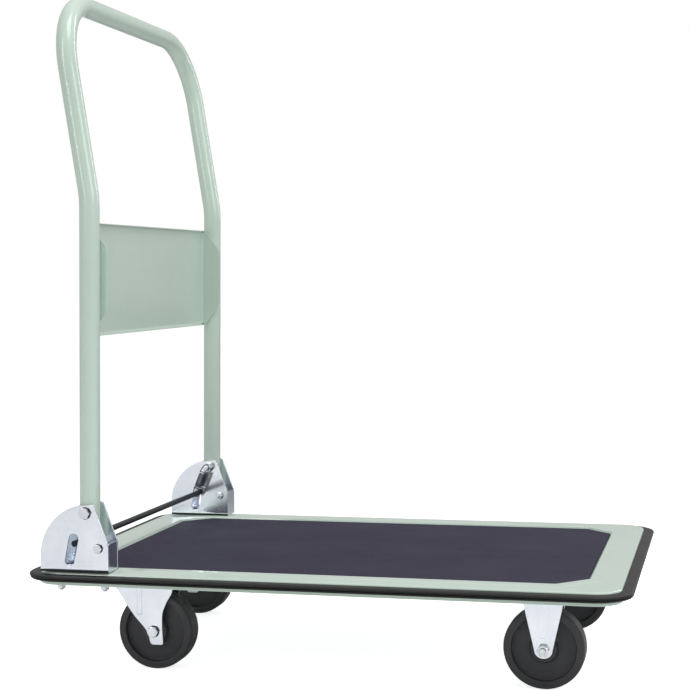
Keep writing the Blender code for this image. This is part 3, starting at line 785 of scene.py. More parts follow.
def long_hole(low: Point, high: Point, width: float, count: int = 12) -> list[Point]:
    """Round-ended slot between two centres.

    Args:
        low: Centre of one end.
        high: Centre of the other end.
        width: Width of the slot.
        count: Steps in each end.

    Returns:
        The outline.
    """
    heading = math.atan2(high[1] - low[1], high[0] - low[0])
    ends = ((high, heading - math.pi / 2), (low, heading + math.pi / 2))
    return [point for centre, start in ends for point in arc(centre, width / 2, start, math.pi, count)]


def rounded(corners: Sequence[Corner], radius: float, count: int = 5, ends: bool = True) -> list[Point]:
    """Round the corners of an outline.

    Args:
        corners: Corner points; a third number sets a corner's own reach.
        radius: Distance from each corner at which its curve starts.
        count: Steps in each curve.
        ends: Whether the first and last corner are rounded too.

    Returns:
        The outline with curved corners.
    """
    points = []
    total = len(corners)
    for i, corner in enumerate(corners):
        here = Vector(corner[:2])
        if not ends and i in (0, total - 1):
            points.append((here.x, here.y))
            continue
        before = Vector(corners[i - 1][:2]) - here
        after = Vector(corners[(i + 1) % total][:2]) - here
        own = corner[2] if len(corner) > 2 else radius
        reach = min(own, before.length * 0.45, after.length * 0.45)
        first = here + before.normalized() * reach
        last = here + after.normalized() * reach
        for k in range(count + 1):
            t = k / count
            point = first * (1 - t) ** 2 + here * 2 * t * (1 - t) + last * t**2
            points.append((point.x, point.y))
    return points


class Workshop:
    """Makes objects from meshes, dresses them and ties them to the frame."""

    def __init__(self) -> None:
        """Mix every finish once."""
        effects = Effects()
        self.materials = {slot: finish.build(effects) for slot, finish in FINISHES.items()}

    def add(
        self, name: str, bm: Mesh, slot: Slot, body: str | None, stands_for: Sequence[str] = (),
        bevel: float = 0.0, sharp: float = 35.0,
    ) -> bpy.types.Object:
        """Make one piece.

        Args:
            name: Name of the piece.
            bm: Its mesh, in place.
            slot: Finish of the piece.
            body: Body it moves with, or None for a piece that moves with no body.
            stands_for: Frame nodes it is shown instead of.
            bevel: Width of its edge rounding.
            sharp: Angle in degrees above which an edge stays crisp.

        Returns:
            The new object.
        """
        mesh = bpy.data.meshes.new(name)
        bm.to_mesh(mesh)
        bm.free()
        mesh.shade_smooth()
        mesh.set_sharp_from_angle(angle=math.radians(sharp))
        piece = bpy.data.objects.new(name, mesh)
        bpy.context.scene.collection.objects.link(piece)
        mesh.materials.append(self.materials[slot])
        if bevel:
            step = piece.modifiers.new("soft_edges", "BEVEL")
            step.width = bevel
            step.segments = 2
            step.limit_method = "ANGLE"
            step.angle_limit = math.radians(sharp)
            step.use_clamp_overlap = False
        if body:
            even = piece.modifiers.new("even_light", "WEIGHTED_NORMAL")
            even.keep_sharp = True
            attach(piece, body)
        if stands_for:
            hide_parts(*stands_for)
        LOG.info("%s rides on %s", name, body or "two bodies")
        return piece

    def dress_frame(self, frame: dict) -> None:
        """Give every carried-over frame node the finish of its slot.

        Args:
            frame: What the frame loader returned.
        """
        slots = {part["node"]: part["material_slot"] for part in frame["record"]["subparts"]}
        for name, node in frame["nodes"].items():
            material = self.materials[Slot(slots[name])]
            node.data.materials.clear()
            node.data.materials.append(material)


@dataclass(frozen=True)
class Thread:
    """Metric fastener sizes: shank, across flats, head and nut height, pitch."""

    shank: float
    flats: float
    head: float
    nut: float
    pitch: float


M8 = Thread(0.008, 0.013, 0.0053, 0.0062, 0.00125)
M6 = Thread(0.006, 0.010, 0.0040, 0.0048, 0.0010)


@dataclass
class Fastener:
    """Hexagon bolts and nuts of one thread."""

    shop: Workshop
    thread: Thread
    washer: float = 0.0009
    ridges: int = 8

    def bolt(self, name: str, seat: Vector, axis: Vector, length: float, body: str, node: str) -> None:
        """Build a bolt with a chamfered head, a washer and a threaded end.

        Args:
            name: Name of the piece.
            seat: Point under the head.
            axis: Direction from head to tip.
            length: Shank length.
            body: Body it moves with.
            node: Frame node it stands for.
        """
        t, low = self.thread, 0.001
        head = hexagon(t.flats, self.washer, t.head, seat, -Vector(axis))
        neck = t.flats * 0.48
        collar = lathe([(-0.0001, low), (-0.0001, neck), (-0.0011, neck), (-0.0011, low)], seat, axis)
        radius = t.shank / 2
        start = max(length - (self.ridges + 1) * t.pitch, low)
        profile = [(0.0, radius), (start, radius)]
        for i in range(self.ridges):
            along = start + t.pitch * i
            profile += [(along + t.pitch * 0.5, radius - t.pitch * 0.5), (along + t.pitch, radius)]
        profile += [(length - 0.0004, radius - 0.0004), (length, radius - 0.0014)]
        profile = [p for i, p in enumerate(profile) if i == 0 or p[0] > profile[i - 1][0]]
        shank = lathe(profile, seat, axis, segments=32)
        self.shop.add(name, merge([head, collar, shank]), Slot.FASTENER, body, [node], sharp=28)
        bore, rim = radius + 0.0002, t.flats * 0.60
        flat = [(0.0002, bore), (0.0002, rim), (-0.0004, rim), (-0.0007, rim - 0.0004), (-0.0007, bore)]
        disc = lathe(flat, seat, axis, True, 40)
        self.shop.add(name.replace("_fine", "_washer"), disc, Slot.STEEL, body)

    def nut(self, name: str, seat: Vector, axis: Vector, body: str, node: str) -> None:
        """Build a nut chamfered at both ends.

        Args:
            name: Name of the piece.
            seat: Centre of the face that bears on the work.
            axis: Direction from that face outwards.
            body: Body it moves with.
            node: Frame node it stands for.
        """
        t = self.thread
        block = hexagon(t.flats, 0.0, t.nut, seat, axis, t.shank / 2 + 0.0001, True)
        self.shop.add(name, block, Slot.FASTENER, body, [node], sharp=28)


# ---------------------------------------------------------------- sub-assemblies


@dataclass
class Platform:
    """Pressed deck pan with mat, edge strip and the members below it."""

    shop: Workshop
    corner: float = 0.0330
    edge_round: float = 0.0030
    band_fall: float = 0.0012
    crease_inset: float = 0.0200
    chamfer: float = 0.0360
    slope: float = 0.0025
    sheet: float = 0.0015
    lip: float = 0.0006
    steps: int = 12
    member_sheet: float = 0.0025
    member_radius: float = 0.0045

    def __post_init__(self) -> None:
        """Read the places of the pan, mat and strip from the frame."""
        self.low, self.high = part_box("deck_pan")
        self.mat_low, self.mat_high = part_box("anti_slip_mat")
        self.band = self.high.z - self.band_fall
        self.floor = self.mat_low.z - GAP

    def edge(self, inset: float, z: float) -> list[Vector]:
        """Rounded rectangle of the deck edge.

        Args:
            inset: Distance inside the skirt; a negative one is outside.
            z: Height.

        Returns:
            One ring of points.
        """
        half_x = (self.high.x - self.low.x) / 2 - inset
        half_y = (self.high.y - self.low.y) / 2 - inset
        radius = max(self.corner - inset, 0.002)
        points = []
        for quarter, (sx, sy) in enumerate(((1, 1), (-1, 1), (-1, -1), (1, -1))):
            centre = (sx * (half_x - radius), sy * (half_y - radius))
            points += arc(centre, radius, math.pi / 2 * quarter, math.pi / 2, self.steps)
        return [Vector((x, y, z)) for x, y in points]

    def recess(self, inset: float, z: float) -> list[Vector]:
        """Cut-cornered outline of the mat recess; a negative inset grows it.

        Args:
            inset: Distance inside the recess edge.
            z: Height.

        Returns:
            One ring of points.
        """
        front = self.mat_high.x + self.lip - inset
        rear = self.mat_low.x - self.lip + inset
        side = self.mat_high.y + self.lip - inset
        cut = self.chamfer - inset * (2 - math.sqrt(2))
        corners = (
            ((front, side - cut), (front - cut, side)),
            ((rear + cut, side), (rear, side - cut)),
            ((rear, -side + cut), (rear + cut, -side)),
            ((front - cut, -side), (front, -side + cut)),
        )
        shares = [i / self.steps for i in range(self.steps + 1)]
        points = [(a[0] * (1 - t) + b[0] * t, a[1] * (1 - t) + b[1] * t) for a, b in corners for t in shares]
        return [Vector((x, y, z)) for x, y in points]

    def build_pan(self) -> None:
        """Deck sheet: recess, soft lip, flat band, crease, falling band, rolled edge and skirt."""
        top, base, s, r = self.high.z, self.low.z, self.sheet, self.edge_round
        crease = -self.crease_inset
        lip = ((0.0019, 0.0014), (0.0023, 0.0007), (0.0029, 0.0002), (0.0038, 0.0))
        loops = [self.recess(0.0, self.floor), self.recess(-self.slope * 0.55, self.floor + 0.0022)]
        loops += [self.recess(-out, top - drop) for out, drop in lip]
        loops += [self.recess(crease + 0.0006, top), self.recess(crease, top - 0.0003)]
        loops.append(self.recess(crease - 0.0008, top - 0.0004))
        for i in range(7):
            angle = math.pi / 2 * i / 6
            loops.append(self.edge(r * (1 - math.sin(angle)), self.band - r * (1 - math.cos(angle))))
        loops += [self.edge(0.0, base + 0.0006), self.edge(0.0003, base), self.edge(s - 0.0003, base)]
        loops += [self.edge(s, base + 0.0006), self.edge(s, self.band - r - s * 0.5)]
        loops += [self.edge(r + 0.001, self.band - s), self.recess(crease, top - s)]
        loops += [self.recess(-self.slope - 0.001, top - s), self.recess(-0.001, self.floor - s)]
        pan = loft(loops, False)
        self.shop.add("deck_pan_fine", pan, Slot.PAINT, "platform", ["deck_pan"], sharp=24)

    def build_mat(self) -> None:
        """Mat with a soft upper edge."""
        low, high = self.mat_low.z, self.mat_high.z
        wall = [(0.0006, low), (0.0006, high - 0.0009)]
        wall += [(0.0008, high - 0.0004), (0.0013, high), (0.0022, high)]
        loops = [self.recess(inset, z) for inset, z in wall]
        self.shop.add("anti_slip_mat_fine", loft(loops, False), Slot.MAT, "platform", ["anti_slip_mat"])

    def build_bumper(self) -> None:
        """Edge strip with two lips and a groove between them."""
        low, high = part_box("edge_bumper")
        reach = high.x - self.high.x
        height = high.z - low.z
        section = [
            (0.03, 0.0), (0.56, 0.0), (0.74, 0.05), (0.86, 0.15), (0.92, 0.27), (0.93, 0.36), (0.90, 0.41),
            (0.85, 0.44), (0.85, 0.47), (0.93, 0.50), (0.985, 0.57), (1.0, 0.67), (0.97, 0.79), (0.90, 0.89),
            (0.76, 0.96), (0.55, 0.99), (0.30, 1.0), (0.03, 1.0),
        ]
        strip = loft([self.edge(-reach * out, low.z + height * up) for out, up in section], True)
        self.shop.add("edge_bumper_fine", strip, Slot.BUMPER, "platform", ["edge_bumper"], sharp=50)

    def build_members(self) -> None:
        """Folded members that carry the casters, and the rib between them."""
        bend = self.member_radius
        for name in ("cross_member_rear", "cross_member_front"):
            low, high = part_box(name)
            fold = Fold((high.x - low.x) / 2, bend, self.member_sheet)
            depth = high.z - low.z
            leg = [(low.y, bend), (low.y, depth), (high.y, depth), (high.y, bend)]
            holes = [circle((y, 0.0), 0.009) for y in (-0.045, 0.045)]
            if name.endswith("rear"):
                holes += [circle((self.caster_y(side), 0.0), 0.012) for side in Side]
            place = lay("yxz", ((low.x + high.x) / 2, 0.0, high.z), "z")
            sheet = fold.bend(rounded(leg, 0.003, ends=False), [], place, holes)
            self.shop.add(f"{name}_fine", sheet, Slot.PAINT, "platform", [name], bevel=0.0004)
        name = "centre_stiffener"
        low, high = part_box(name)
        fold = Fold((high.y - low.y) / 2, bend, self.member_sheet)
        depth = high.z - low.z
        leg = [(low.x, bend), (low.x + 0.004, depth), (high.x - 0.004, depth), (high.x, bend)]
        step = (high.x - low.x) / 7
        holes = [circle((low.x + step * i, 0.0), 0.011) for i in range(1, 7)]
        sheet = fold.bend(leg, [], lay("xyz", (0.0, 0.0, high.z), "z"), holes)
        self.shop.add(f"{name}_fine", sheet, Slot.PAINT, "platform", [name], bevel=0.0004)

    @staticmethod
    def caster_y(side: Side) -> float:
        """Distance of a caster from the middle of the cart."""
        low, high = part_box(f"rear_{side.label}_race")
        return (low.y + high.y) / 2

    def build(self) -> None:
        """Build the whole platform."""
        self.build_pan()
        self.build_mat()
        self.build_bumper()
        self.build_members()


@dataclass
class Hinge:
    """Folded bracket with its bolts, nuts and the pad below the deck."""

    shop: Workshop
    side: Side
    pivot: Vector
    deck_top: float
    sheet: float = 0.0025
    radius: float = 0.0040
    front: float = 0.0300
    rear: float = 0.0615
    height: float = 0.0857
    web_top: float = 0.0360
    arc_centre: Point = (0.0060, 0.0180)
    arc_radius: float = 0.0677
    stop: Point = (0.0170, 0.0305)
    slot_top: Point = (-0.0160, 0.0421)
    slot_low: Point = (-0.0220, 0.0139)
    slot_width: float = 0.0128
    base_bolts: Point = (-0.0410, 0.0180)

    def __post_init__(self) -> None:
        """Find the bracket in the frame."""
        self.label = self.side.label
        self.low, self.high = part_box(f"hinge_bracket_{self.label}")
        self.y = (self.low.y + self.high.y) / 2
        self.half = (self.high.y - self.low.y) / 2
        self.base = self.low.z

    def side_view(self) -> list[Point]:
        """Outline of a side plate as (x, height above the base).

        Returns:
            Points from the front foot, over the top, to the rear foot.
        """
        lift = self.deck_top - self.base
        front = self.pivot.x + self.front
        rear = self.pivot.x - self.rear
        top = self.height + lift
        centre = (self.pivot.x + self.arc_centre[0], self.arc_centre[1] + lift)
        corners = [(front, self.radius), (front, self.web_top + lift, 0.004)]
        corners += [(front - 0.0185, top - 0.0005, 0.003), (front - 0.04, top)]
        points = rounded(corners, 0.003, ends=False)[:-1]
        start = math.acos((self.pivot.x - 0.0140 - centre[0]) / self.arc_radius)
        end = math.pi - math.asin(0.010 / self.arc_radius)
        crown = arc(centre, self.arc_radius, start, end - start, 24)
        points += [(max(x, rear), min(z, top)) for x, z in crown]
        return points + [(rear, self.radius)]

    def build_bracket(self) -> None:
        """Bracket bent from one sheet, with a closed front."""
        lift = self.deck_top - self.base
        px = self.pivot.x
        slot = [(px + x, z + lift) for x, z in (self.slot_low, self.slot_top)]
        holes = [
            circle((px, self.pivot.z - self.base), 0.0043),
            circle((px + self.stop[0], self.stop[1] + lift), 0.0033),
            long_hole(*slot, self.slot_width),
        ]
        place = lay("xyz", (0.0, self.y, self.base))
        shell = Fold(self.half, self.radius, self.sheet).bend(self.side_view(), holes, place)
        node = f"hinge_bracket_{self.label}"
        self.shop.add(f"{node}_fine", shell, Slot.SHEET, "platform", [node], bevel=0.00035)
        half, top = self.half - self.sheet - 0.0002, self.web_top + lift
        outline = rounded([(-half, 0.001), (half, 0.001), (half, top, 0.003), (-half, top, 0.003)], 0.001)
        front = px + self.front
        place = lay("yzx", (0.0, self.y, self.base))
        web = slab(outline, [], front - self.sheet, front - 0.0002, place)
        self.shop.add(f"hinge_web_{self.label}", web, Slot.SHEET, "platform", bevel=0.0004)

    def build_shim(self) -> None:
        """Dark strips along the foot of the bracket's bends: a painted shadow of the gap between bracket and
        deck.
        """
        rear, front = self.pivot.x - self.rear, self.pivot.x + self.front
        strips = []
        for sy in (-1, 1):
            low, high = sorted((self.y + sy * (self.half - 0.0006), self.y + sy * (self.half + 0.0003)))
            outline = rectangle(rear, front, low, high)
            strips.append(slab(outline, [], self.base - GAP + 0.0002, self.base + 0.0016, lay("xyz")))
        # The dark strips stand for the shadow in the gap under the bracket: painted shadow.
        self.shop.add(f"hinge_shim_{self.label}", merge(strips), Slot.BUMPER, "platform", bevel=0.0002)

    def build_fasteners(self) -> None:
        """Pivot, stop and base bolts with their nuts."""
        inward = Vector((0, -self.side.value, 0))
        reach = self.side.value * (self.half + GAP)
        stop = (self.pivot.x + self.stop[0], self.stop[1] + self.deck_top)
        for kind, thread, (x, z) in (("pivot", M8, (self.pivot.x, self.pivot.z)), ("stop", M6, stop)):
            name, nut = f"{kind}_bolt_{self.label}", f"{kind}_nut_{self.label}"
            low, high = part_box(name)
            length = (high.y - low.y) - thread.head
            tools = Fastener(self.shop, thread)
            tools.bolt(f"{name}_fine", Vector((x, self.y + reach, z)), inward, length, "platform", name)
            tools.nut(f"{nut}_fine", Vector((x, self.y - reach, z)), inward, "platform", nut)
        small = Fastener(self.shop, M6)
        for order, offset in zip("ab", self.base_bolts):
            name, nut = f"bracket_bolt_{self.label}_{order}", f"bracket_nut_{self.label}_{order}"
            low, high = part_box(name)
            seat = Vector((self.pivot.x + offset, self.y, high.z - M6.head))
            small.bolt(f"{name}_fine", seat, DOWN, seat.z - low.z, "platform", name)
            under = Vector((seat.x, seat.y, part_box(nut)[1].z))
            small.nut(f"{nut}_fine", under, DOWN, "platform", nut)

    def build_pad(self) -> None:
        """Channel below the deck that the base bolts pull against."""
        name = f"hinge_pad_{self.label}"
        low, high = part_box(name)
        fold = Fold((high.y - low.y) / 2, self.radius, self.sheet)
        depth = high.z - low.z
        leg = [(low.x, self.radius), (low.x, depth), (high.x, depth), (high.x, self.radius)]
        sheet = fold.bend(leg, [], lay("xyz", (0.0, (low.y + high.y) / 2, low.z)))
        self.shop.add(f"{name}_fine", sheet, Slot.SHEET, "platform", [name], bevel=0.0004)

    def build(self) -> None:
        """Build one hinge."""
        self.build_bracket()
        self.build_shim()
        self.build_fasteners()
        self.build_pad()


@dataclass
class Handle:
    """Bent tube hoop with a sheet panel between its legs."""

    shop: Workshop
    pivot: Vector
    tube: float = 0.0254
    wall: float = 0.0015
    half_spacing: float = 0.2350
    foot: float = 0.0340
    bend_start: float = 0.5914
    bend_radius: float = 0.1600
    bend_angle: float = math.radians(9.7)
    lean: float = math.radians(1.0)
    corner: float = 0.0908
    top: float = 0.8556
    panel_low: float = 0.4310
    panel_high: float = 0.5750
    panel_sheet: float = 0.0012
    panel_flange: float = 0.0300
    panel_cut: float = 0.0320
    hem: float = 0.0060

    def leaned(self, x: float, y: float, z: float) -> Vector:
        """Turn a point of the upright handle by the lean of its legs.

        Args:
            x: Place along the cart.
            y: Place across it.
            z: Height.

        Returns:
            The turned point.
        """
        ahead, up = x - self.pivot.x, z - self.pivot.z
        cosine, sine = math.cos(self.lean), math.sin(self.lean)
        forward, risen = ahead * cosine + up * sine, up * cosine - ahead * sine
        return Vector((self.pivot.x + forward, y, self.pivot.z + risen))

    def path(self) -> list[Vector]:
        """Centre line from one foot over the bar to the other.

        Returns:
            Points of the centre line.
        """
        px, side = self.pivot.x, -self.half_spacing
        heights = (self.pivot.z - self.foot, self.pivot.z + 0.02, self.bend_start - 0.02)
        half = [(px, side, z) for z in heights]
        for i in range(15):
            angle = self.bend_angle * i / 14
            back, up = self.bend_radius * (1 - math.cos(angle)), self.bend_radius * math.sin(angle)
            half.append((px - back, side, self.bend_start + up))
        bend_z = half[-1][2]
        straight = (self.top - bend_z) / math.cos(self.bend_angle) - self.corner
        tilt = Vector((-math.sin(self.bend_angle), 0.0, math.cos(self.bend_angle)))
        start = Vector(half[-1]) + tilt * straight
        for i in range(29):
            angle = math.pi / 2 * i / 28
            inward = Vector((0, self.corner * (1 - math.cos(angle)), 0))
            half.append(tuple(start + tilt * self.corner * math.sin(angle) + inward))
        near = [self.leaned(*point) for point in half]
        return near + [Vector((p.x, -p.y, p.z)) for p in reversed(near)]

    def build_hoop(self) -> None:
        """Open-ended tube swept along the hoop's centre line."""
        tube = sweep(self.path(), self.tube / 2 * 0.9995, 40, self.wall)
        self.shop.add("handle_hoop", tube, Slot.PAINT, "handle", ["handle_tube"], sharp=40)

    def build_panel(self) -> None:
        """Panel with forward end flanges and hemmed long edges."""
        half = self.half_spacing - self.tube / 2 - GAP
        back = self.pivot.x - self.tube / 2 + GAP
        low, high, r, hem = self.panel_low, self.panel_high, 0.0035, self.hem
        sheet, cut, deep = self.panel_sheet, self.panel_cut, self.panel_flange
        leg = [
            (low, r), (low, hem, 0.004), (low + cut, deep, 0.006),
            (high - cut, deep, 0.006), (high, hem, 0.004), (high, r),
        ]

        def upright(u: float, v: float, w: float) -> Vector:
            """Stand the blank up between the legs."""
            return self.leaned(back + w, v, u)

        def lengthways(u: float, v: float, w: float) -> Vector:
            """Run a hem across the handle."""
            return self.leaned(u, w, v)

        face = Fold(half, r, sheet).bend(rounded(leg, 0.004, ends=False), [], upright)
        self.shop.add("handle_panel_fine", face, Slot.PAINT, "handle", ["handle_panel"], bevel=0.0003)
        for name, z, way in (("low", low, 1.0), ("high", high, -1.0)):
            section = [
                (back, z + way * 0.004), (back, z + way * 0.0016, 0.0012), (back + 0.0016, z, 0.0012),
                (back + hem, z), (back + hem, z + way * sheet), (back + 0.0022, z + way * sheet),
                (back + sheet, z + way * 0.004),
            ]
            lip = slab(rounded(section, 0.0003, 3), [], r - half, half - r, lengthways)
            self.shop.add(f"panel_hem_{name}", lip, Slot.PAINT, "handle", bevel=0.0003)

    def build_welds(self) -> None:
        """Short rippled beads that hold the panel flanges to the legs."""
        rng = random.Random(7)
        count, length, thick = 34, 0.018, 0.0013
        leg = self.tube / 2
        up = Vector((math.sin(self.lean), 0, math.cos(self.lean)))
        heights = (self.panel_low + 0.034, self.panel_high - 0.050)
        spots = [(s, z, ahead) for s in (-1, 1) for z in heights for ahead in (0.0058, -0.0102)]
        beads = []
        for side, z, ahead in spots:
            points = [(0.0, 0.0002)]
            for i in range(1, count):
                ripple = 0.82 + 0.18 * math.sin(i * 1.9) + 0.06 * rng.random()
                points.append((length * i / count, thick * ripple))
            points.append((length, 0.0002))
            across = self.half_spacing - math.sqrt(max(leg**2 - ahead**2, 0.0)) - 0.0002
            reach = side * min(across, self.half_spacing - leg + 0.0015)
            beads.append(lathe(points, self.leaned(self.pivot.x + ahead, reach, z), up, segments=12))
        self.shop.add("panel_weld_beads", merge(beads), Slot.PAINT, "handle", sharp=80)

    def build(self) -> None:
        """Build the whole handle."""
        self.build_hoop()
        self.build_panel()
        self.build_welds()


@dataclass
class Latch:
    """Sprung rod that lies behind both handle legs."""

    shop: Workshop
    pivot: Vector
    wire: float = 0.0014
    coil: float = 0.0065
    turns: int = 9

    def __post_init__(self) -> None:
        """Find the rod in the frame."""
        self.low, self.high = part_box("latch_rod")
        self.centre = (self.low + self.high) / 2
        self.radius = (self.high.z - self.low.z) / 2

    def build_rod(self) -> None:
        """Turned rod with chamfered ends and a groove for each clip."""
        length = self.high.y - self.low.y
        r, groove = self.radius, self.radius - 0.0005
        profile = [(0.0, r - 0.0012), (0.0010, r)]
        low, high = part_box("latch_clip_near")
        for y in (low.y - self.low.y, length - (high.y - self.low.y)):
            profile += [(y - 0.0002, r), (y, groove), (y + 0.0012, groove), (y + 0.0014, r)]
        profile += [(length - 0.0010, r), (length, r - 0.0012)]
        rod = lathe(profile, Vector((self.centre.x, self.low.y, self.centre.z)), ACROSS)
        self.shop.add("latch_rod_fine", rod, Slot.STEEL, "latch", ["latch_rod"])

    def build_clips(self) -> None:
        """Open retaining clips with three inner lugs."""
        steps, open_low, turn = 40, -60, 300
        for side in Side:
            name = f"latch_clip_{side.label}"
            low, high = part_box(name)
            outer = (high.z - low.z) / 2
            outline = []
            for i in range(steps + 1):
                angle = math.radians(open_low + turn * i / steps)
                outline.append((outer * math.cos(angle), outer * math.sin(angle)))
            for i in range(steps + 1):
                angle = math.radians(open_low + turn - turn * i / steps)
                lug = 0.0016 if math.cos(3 * (angle - math.radians(90))) < 0.55 else 0.0
                reach = self.radius + GAP + lug
                outline.append((reach * math.cos(angle), reach * math.sin(angle)))
            place = lay("xzy", (self.centre.x, 0.0, self.centre.z))
            ring_mesh = slab(outline, [], low.y, high.y, place)
            self.shop.add(f"{name}_fine", ring_mesh, Slot.FASTENER, "latch", [name], bevel=0.0002)

    def spring_path(self, y: float) -> list[Vector]:
        """Centre line of one spring: hook, coil, hook.

        Args:
            y: Distance of the spring from the middle of the cart.

        Returns:
            Points of the wire's centre line.
        """
        top = Vector((self.pivot.x, y, self.pivot.z))
        low = Vector((self.centre.x, y, self.centre.z))
        along = (low - top).normalized()
        across = Vector((along.z, 0.0, -along.x))
        reach = M8.shank / 2 + GAP + self.wire / 2
        begin = reach + 0.0035

        def hook(end: Vector, first: float) -> list[Vector]:
            """Bend the wire back round a pin, from a first angle in degrees."""
            turns = [math.radians(first - 210 * i / 18) for i in range(19)]
            return [end + along * reach * math.cos(t) + across * reach * math.sin(t) for t in turns]

        points = hook(top, 300)
        steps = 24 * self.turns
        for i in range(steps + 1):
            angle = 2 * math.pi * self.turns * i / steps
            advance = begin + ((low - top).length - 2 * begin) * i / steps
            round_axis = across * math.cos(angle) + ACROSS * math.sin(angle)
            points.append(top + along * advance + round_axis * self.coil)
        return points + hook(low, 90)

    def build_springs(self) -> None:
        """Coil springs that stretch between the pivot bolts and the rod."""
        for side in Side:
            name = f"latch_spring_{side.label}"
            low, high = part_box(name)
            y = (low.y + high.y) / 2
            wire = sweep(self.spring_path(y), self.wire / 2, 10)
            piece = self.shop.add(f"{name}_fine", wire, Slot.STEEL, None, [name], sharp=60)
            start, end = (self.pivot.x, y, self.pivot.z), (self.centre.x, y, self.centre.z)
            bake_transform(piece)
            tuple(start)
            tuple(end)

    def build(self) -> None:
        """Build the whole latch."""
        self.build_rod()
        self.build_clips()
        self.build_springs()


@dataclass
class Wheel:
    """Moulded wheel with a flat tread, a wide rim and a recessed disc."""

    shop: Workshop
    node: str
    body: str
    band: float = 0.0100
    recess: float = 0.0075
    hub: float = 0.0160
    bore: float = 0.0073

    def build(self) -> None:
        """Turn the wheel about its axle."""
        low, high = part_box(self.node)
        centre = (low + high) / 2
        rim = (high.z - low.z) / 2
        hub_half = (high.y - low.y) / 2
        half = hub_half - 0.0020
        disc = half - self.recess
        edge = rim - self.band
        right = [
            (hub_half, self.bore), (hub_half, self.hub - 0.0012), (hub_half - 0.0004, self.hub - 0.0004),
            (hub_half - 0.0012, self.hub), (disc + 0.0010, self.hub + 0.0016), (disc, self.hub + 0.0030),
            (disc, edge - 0.0016), (disc + 0.0006, edge - 0.0006),
            (half - 0.0006, edge), (half - 0.0001, edge + 0.0003), (half, edge + 0.0008),
            (half, rim - 0.0042), (half - 0.0003, rim - 0.0036), (half - 0.0003, rim - 0.0030),
            (half - 0.0001, rim - 0.0026), (half - 0.0006, rim - 0.0014), (half - 0.0018, rim - 0.0005),
            (half - 0.0036, rim - 0.0001), (half - 0.0060, rim),
        ]
        middle = [(0.0004, rim), (0.0002, rim - 0.0002)]
        profile = right + middle + [(-a, r) for a, r in reversed(right + middle)]
        body = lathe(profile, centre, Vector((0, 1, 0)), True, 96)
        self.shop.add(f"{self.node}_fine", body, Slot.WHEEL, self.body, [self.node], sharp=30)


@dataclass
class Axle:
    """Bolt and nut of one wheel."""

    shop: Workshop
    prefix: str
    head_side: int
    half: float
    body: str

    def build(self, x: float, y: float, z: float) -> None:
        """Build the bolt and nut.

        Args:
            x: Axle position along the cart.
            y: Middle of the fork.
            z: Axle height.
        """
        tools = Fastener(self.shop, M8)
        name, nut = f"{self.prefix}_axle_bolt", f"{self.prefix}_axle_nut"
        low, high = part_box(name)
        length = (high.y - low.y) - M8.head
        inward = Vector((0, -self.head_side, 0))
        reach = self.head_side * (self.half + GAP)
        tools.bolt(f"{name}_fine", Vector((x, y + reach, z)), inward, length, self.body, name)
        tools.nut(f"{nut}_fine", Vector((x, y - reach, z)), inward, self.body, nut)


@dataclass
class Caster:
    """What both kinds of caster share: plate bolts, fork sheet and wheel."""

    shop: Workshop
    side: Side
    place: str
    sheet: float = 0.0025
    radius: float = 0.0050
    half: float = 0.0195
    bolt_spread: Point = (0.0370, 0.0235)

    @property
    def prefix(self) -> str:
        """Start of this caster's piece names."""
        return f"{self.place}_{self.side.label}"

    def plate_bolts(self, centre: Vector, top: float, plate: float) -> None:
        """Four short bolts that hold the plate to the member above.

        Args:
            centre: Middle of the plate.
            top: Height of the plate's upper face.
            plate: Thickness of the plate.
        """
        bore = 0.0031
        washer = [(0.0, bore), (0.0, 0.0066), (0.0010, 0.0066), (0.0010, bore)]
        tip = [(0.0, 0.0028), (0.0060, 0.0028), (0.0064, 0.0030)]
        tip += [(0.0068, 0.0026), (0.0074, 0.0030), (0.0080, 0.0022)]
        parts = []
        for sx, sy in ((-1, -1), (-1, 1), (1, -1), (1, 1)):
            x, y = centre.x + sx * self.bolt_spread[0], centre.y + sy * self.bolt_spread[1]
            seat = Vector((x, y, top - plate))
            parts.append(lathe(washer, seat, DOWN, True, 32))
            parts.append(hexagon(0.0100, 0.0010, 0.0058, seat, DOWN, bore, True))
            parts.append(lathe(tip, seat, DOWN, segments=24))
        self.shop.add(f"{self.prefix}_plate_bolts", merge(parts), Slot.FASTENER, "platform", sharp=28)

    def plate(
        self, low: Vector, high: Vector, middle: Vector, bottom: float, holes: Iterable[Outline] = ()
    ) -> Mesh:
        """Cut a round-cornered mounting plate.

        Args:
            low: Lowest corner of the frame's plate.
            high: Its highest corner.
            middle: Its middle.
            bottom: Height of its lower face.
            holes: Holes through it.

        Returns:
            The plate.
        """
        hx, hy = (high.x - low.x) / 2, (high.y - low.y) / 2
        corners = rectangle(middle.x - hx, middle.x + hx, middle.y - hy, middle.y + hy)
        return slab(rounded(corners, 0.008, 8), holes, bottom, high.z, lay("xyz"))

    def raised(self, strip: Outline, y: float, height: float) -> Mesh:
        """Press the same strip out of both fork legs.

        Args:
            strip: Its outline as (x, z).
            y: Middle of the fork.
            height: How far it stands out.

        Returns:
            Both strips.
        """
        parts = []
        for sy in (-1, 1):
            face = y + sy * self.half
            parts.append(slab(strip, [], face - sy * 0.0002, face + sy * height, lay("xzy")))
        return merge(parts)


